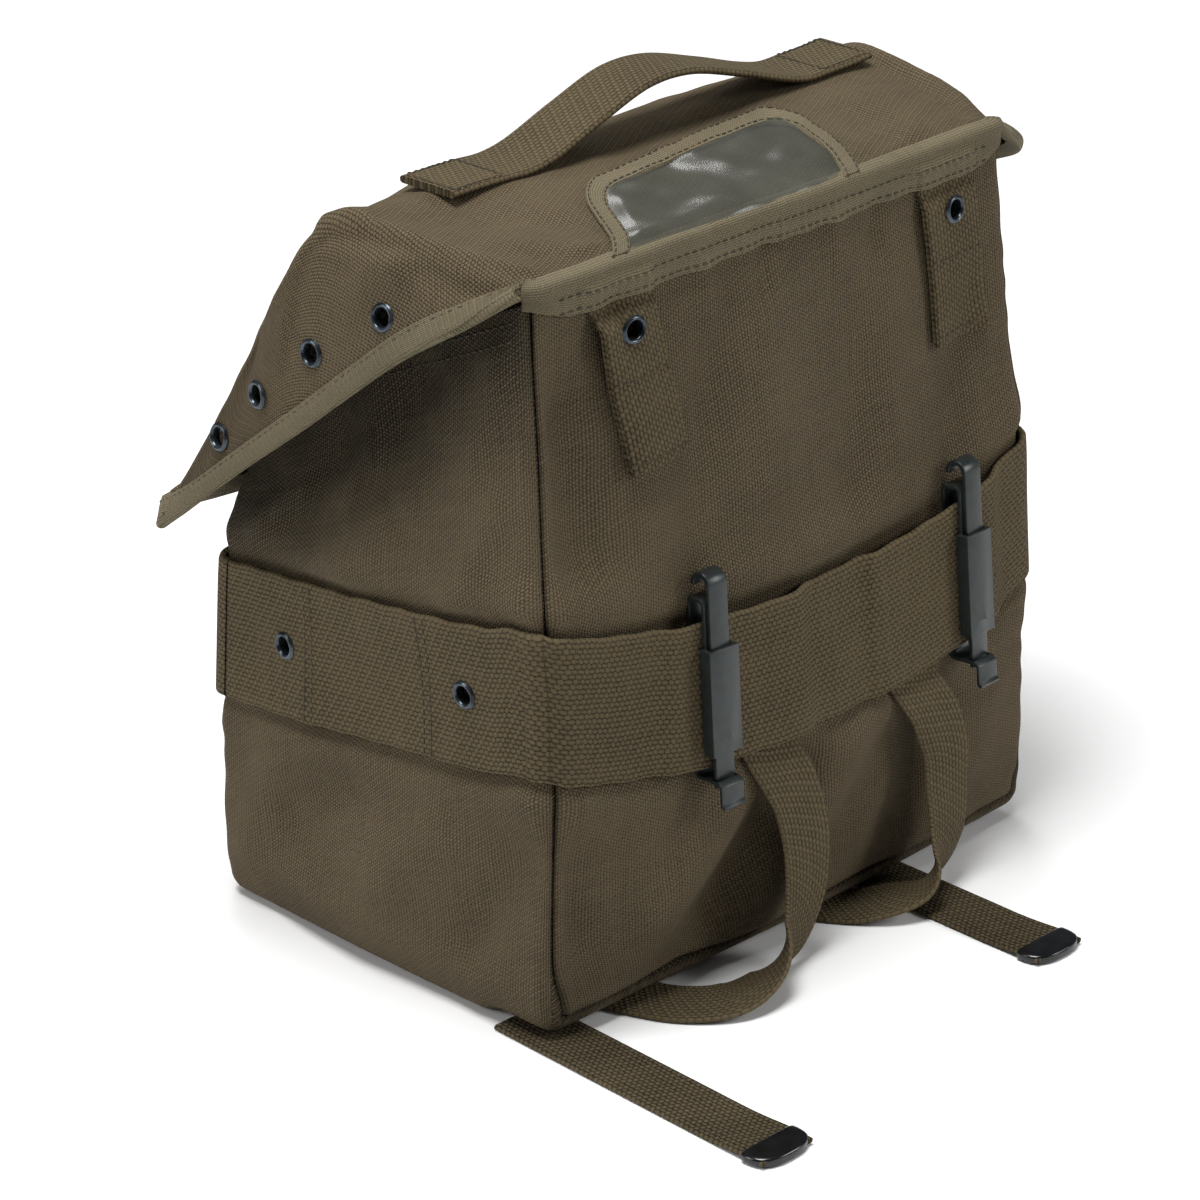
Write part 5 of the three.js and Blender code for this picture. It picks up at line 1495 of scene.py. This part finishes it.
# %% Keepers
BEND_ANGLE = 35


def rounded_copy(node, width_mm, body):
    source = bpy.data.objects[node]
    mesh = source.data.copy()
    work = bmesh.new()
    work.from_mesh(mesh)
    work.transform(source.matrix_world)
    bmesh.ops.remove_doubles(work, verts=work.verts, dist=0.00001)
    bmesh.ops.dissolve_limit(work, angle_limit=math.radians(4), verts=work.verts, edges=work.edges)
    work.to_mesh(mesh)
    work.free()
    mesh.materials.clear()
    mesh.materials.append(keeper_enamel)
    piece = bpy.data.objects.new(node + "_steel", mesh)
    bpy.context.collection.objects.link(piece)
    bevel = piece.modifiers.new("rounded_edges", "BEVEL")
    bevel.width, bevel.segments, bevel.limit_method = width_mm / 1000, 2, "ANGLE"
    bevel.angle_limit = math.radians(BEND_ANGLE)
    piece.data = applied(piece)
    piece.data.shade_smooth()
    piece.data.set_sharp_from_angle(angle=math.radians(BEND_ANGLE))
    replace(piece, node, body)


for name in ("near", "far"):
    rounded_copy(f"keeper_{name}_frame", 0.22, "bag")
    rounded_copy(f"keeper_{name}_bar", 0.25, f"{name}_bar")

# %% [markdown]
# Stitches repeat along seams, which is what Geometry Nodes are for. The rows are drawn as plain
# edges on the cloth. The tree turns them into curves, spaces points along them, and puts a small
# rounded thread on each point, turned along the row.

# %% Stitch tree
thread, thread_tree, thread_shader = new_material("waxed_cotton_thread")
thread_place = add(thread_tree, "ShaderNodeTexCoord").outputs["Object"]
thread_cloud = noise(thread_tree, thread_place, 55.0, 3.0).outputs[0]
thread_colour = ramp(thread_tree, thread_cloud, "#2c2617", "#5c3a20", 0.50, 0.72)
thread_tree.links.new(thread_colour, thread_shader.inputs["Base Color"])
thread_shader.inputs["Roughness"].default_value = 0.7


def stitch_tree():
    tree = bpy.data.node_groups.new("stitch_rows", "GeometryNodeTree")
    tree.interface.new_socket("Rows", in_out="INPUT", socket_type="NodeSocketGeometry")
    for name, default in (("Spacing", 0.003), ("Length", 0.0022), ("Thickness", 0.0006)):
        socket = tree.interface.new_socket(name, in_out="INPUT", socket_type="NodeSocketFloat")
        socket.default_value = default
    seed = tree.interface.new_socket("Seed", in_out="INPUT", socket_type="NodeSocketInt")
    seed.default_value = 7
    tree.interface.new_socket("Stitches", in_out="OUTPUT", socket_type="NodeSocketGeometry")
    given = add(tree, "NodeGroupInput")
    curves = add(tree, "GeometryNodeMeshToCurve", {0: given.outputs["Rows"]}).outputs[0]
    spaced = {"Curve": curves, "Length": given.outputs["Spacing"]}
    points = add(tree, "GeometryNodeCurveToPoints", spaced, mode="LENGTH")
    ball = add(tree, "GeometryNodeMeshUVSphere", {"Segments": 6, "Rings": 5, "Radius": 0.5}).outputs[0]
    drawn = {2: 0.8, 3: 1.15, "Seed": given.outputs["Seed"]}
    uneven = add(tree, "FunctionNodeRandomValue", drawn, data_type="FLOAT")
    thick = math_node(tree, "MULTIPLY", given.outputs["Thickness"], uneven.outputs[1])
    size = add(tree, "ShaderNodeCombineXYZ", {0: thick, 1: thick, 2: given.outputs["Length"]}).outputs[0]
    placed = add(tree, "GeometryNodeInstanceOnPoints", {
        "Points": points.outputs[0], "Instance": ball, "Rotation": points.outputs["Rotation"], "Scale": size,
    }).outputs[0]
    solid = add(tree, "GeometryNodeRealizeInstances", {0: placed}).outputs[0]
    smooth = add(tree, "GeometryNodeSetShadeSmooth", {0: solid}).outputs[0]
    coloured = add(tree, "GeometryNodeSetMaterial", {"Geometry": smooth, "Material": thread}).outputs[0]
    add(tree, "NodeGroupOutput", {0: coloured})
    return tree


stitches = stitch_tree()


def sew(name, rows, spacing, length, thickness, seed):
    """rows is a list of lines of points in mm on the cloth; they become one mesh of stitches."""
    points, edges = [], []
    for row in rows:
        start = len(points)
        points += [tuple(point) for point in metres(row)]
        edges += [(start + i, start + i + 1) for i in range(len(row) - 1)]
    mesh = bpy.data.meshes.new(name)
    mesh.from_pydata(points, edges, [])
    piece = bpy.data.objects.new(name, mesh)
    bpy.context.collection.objects.link(piece)
    modifier = piece.modifiers.new("stitches", "NODES")
    modifier.node_group = stitches
    values = {"Spacing": spacing / 1000, "Length": length / 1000, "Thickness": thickness / 1000, "Seed": seed}
    for item in stitches.interface.items_tree:
        if item.in_out == "INPUT" and item.name in values:
            modifier[item.identifier] = values[item.name]
    piece.data = applied(piece)
    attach(piece, "bag")
    print(f"{name}: {len(piece.data.polygons)} faces")


# %% [markdown]
# The rows follow the same surfaces as the pieces they hold: along the bindings, round the window
# and the handle's ends, across the tabs, down the band and under the side's top edge. The last
# four numbers are the spacing, length and thickness of a stitch in millimetres, and the seed.

# %% Stitch rows
tape_face = CLOTH / 2 + 0.2 + TAPE_WALL
lid_row = [tape_place(at, TAPE_DEPTH - 1.4, tape_face + 0.12) for at in lid_frames]
sew("lid_tape_stitches", [lid_row], 3.0, 2.1, 0.55, 3)

seam_x = lines(-HALF_WIDTH + 12, HALF_WIDTH - 12, 2.0)
seam_lift = CLEARANCE + TAPE_WALL + 0.12 + over_tab(seam_x)
seam_y = np.full_like(seam_x, -HALF_DEPTH)
seam_rows = [laid(seam_x, seam_y, np.full_like(seam_x, BACK_HEIGHT - drop), seam_lift) for drop in (1.6, 5.6)]
sew("seam_tape_stitches", seam_rows, 3.0, 2.1, 0.55, 4)

window_line = window_outline()
window_rows = [window_tape_place(window_line, share, WINDOW_LIFT + 1.5) for share in (0.14, 0.84)]
sew("window_tape_stitches", window_rows, 2.8, 2.0, 0.5, 5)


def handle_patch(shares):
    middle, across, normal = ribbon_frames(handle_stations())
    length = arc_lengths(middle)
    picked = []
    for along, side in shares:
        run = along if along >= 0 else length[-1] + along
        position = np.array([np.interp(run, length, middle[:, k]) for k in range(3)])
        index = int(np.clip(np.searchsorted(length, run), 0, len(length) - 1))
        lift = normal[index] if normal[index][2] > 0 else -normal[index]
        picked.append(position + across[index] * side + lift * (HANDLE_THICKNESS / 2 + 0.1))
    return picked


def zigzag(start, end, teeth, size):
    start, end = np.array(start, float), np.array(end, float)
    run = (end - start) / (teeth * 2)
    side = np.array([-run[1], run[0]]) / np.linalg.norm(run) * size
    return [start + run * i + side * (0.5 if i % 2 else -0.5) for i in range(teeth * 2 + 1)]


edge = HANDLE_WIDTH / 2 - 1.4
patch_rows = []
for sign in (1, -1):
    box = [(1.4, -edge), (1.4, edge), (19.5, edge), (19.5, -edge), (1.4, -edge)]
    for (a, b), (c, d) in zip(box[:-1], box[1:]):
        patch_rows.append(handle_patch([(sign * p[0], p[1]) for p in zigzag((a, b), (c, d), 7, 1.0)]))
sew("handle_stitches", patch_rows, 1.5, 1.5, 0.5, 6)

tab_rows = []
for tab in TABS.values():
    across_line = np.linspace(-0.86, 0.86, 16)
    for rise in (0.50, 0.06):
        tab_rows.append(tab_point(tab, np.full(16, rise), across_line, TAB_THICKNESS + 0.1))
sew("tab_stitches", tab_rows, 3.0, 2.2, 0.6, 8)

band_rows = []
for side in (-1, 1):
    for y in (-27.0, -24.0, 23.0, 26.0):
        rises = np.linspace(-BAND_WIDTH / 2 + 2, BAND_WIDTH / 2 - 2, 18)
        x = np.full(18, side * HALF_WIDTH)
        band_rows.append(band_point(x, np.full(18, y), rises, BAND_THICKNESS + 0.05))
sew("band_stitches", band_rows, 2.8, 2.0, 0.6, 9)

hem_rows = []
hem_y = lines(-HALF_DEPTH + 8, HALF_DEPTH - 10, 2.0)
for side, face in ((-1, "left"), (1, "right")):
    for drop in (4.0, 9.0):
        x = np.full_like(hem_y, side * HALF_WIDTH)
        hem_rows.append(skin(x, hem_y, top_at(hem_y) - drop, face, 0.15))
sew("hem_stitches", hem_rows, 3.0, 2.2, 0.55, 10)
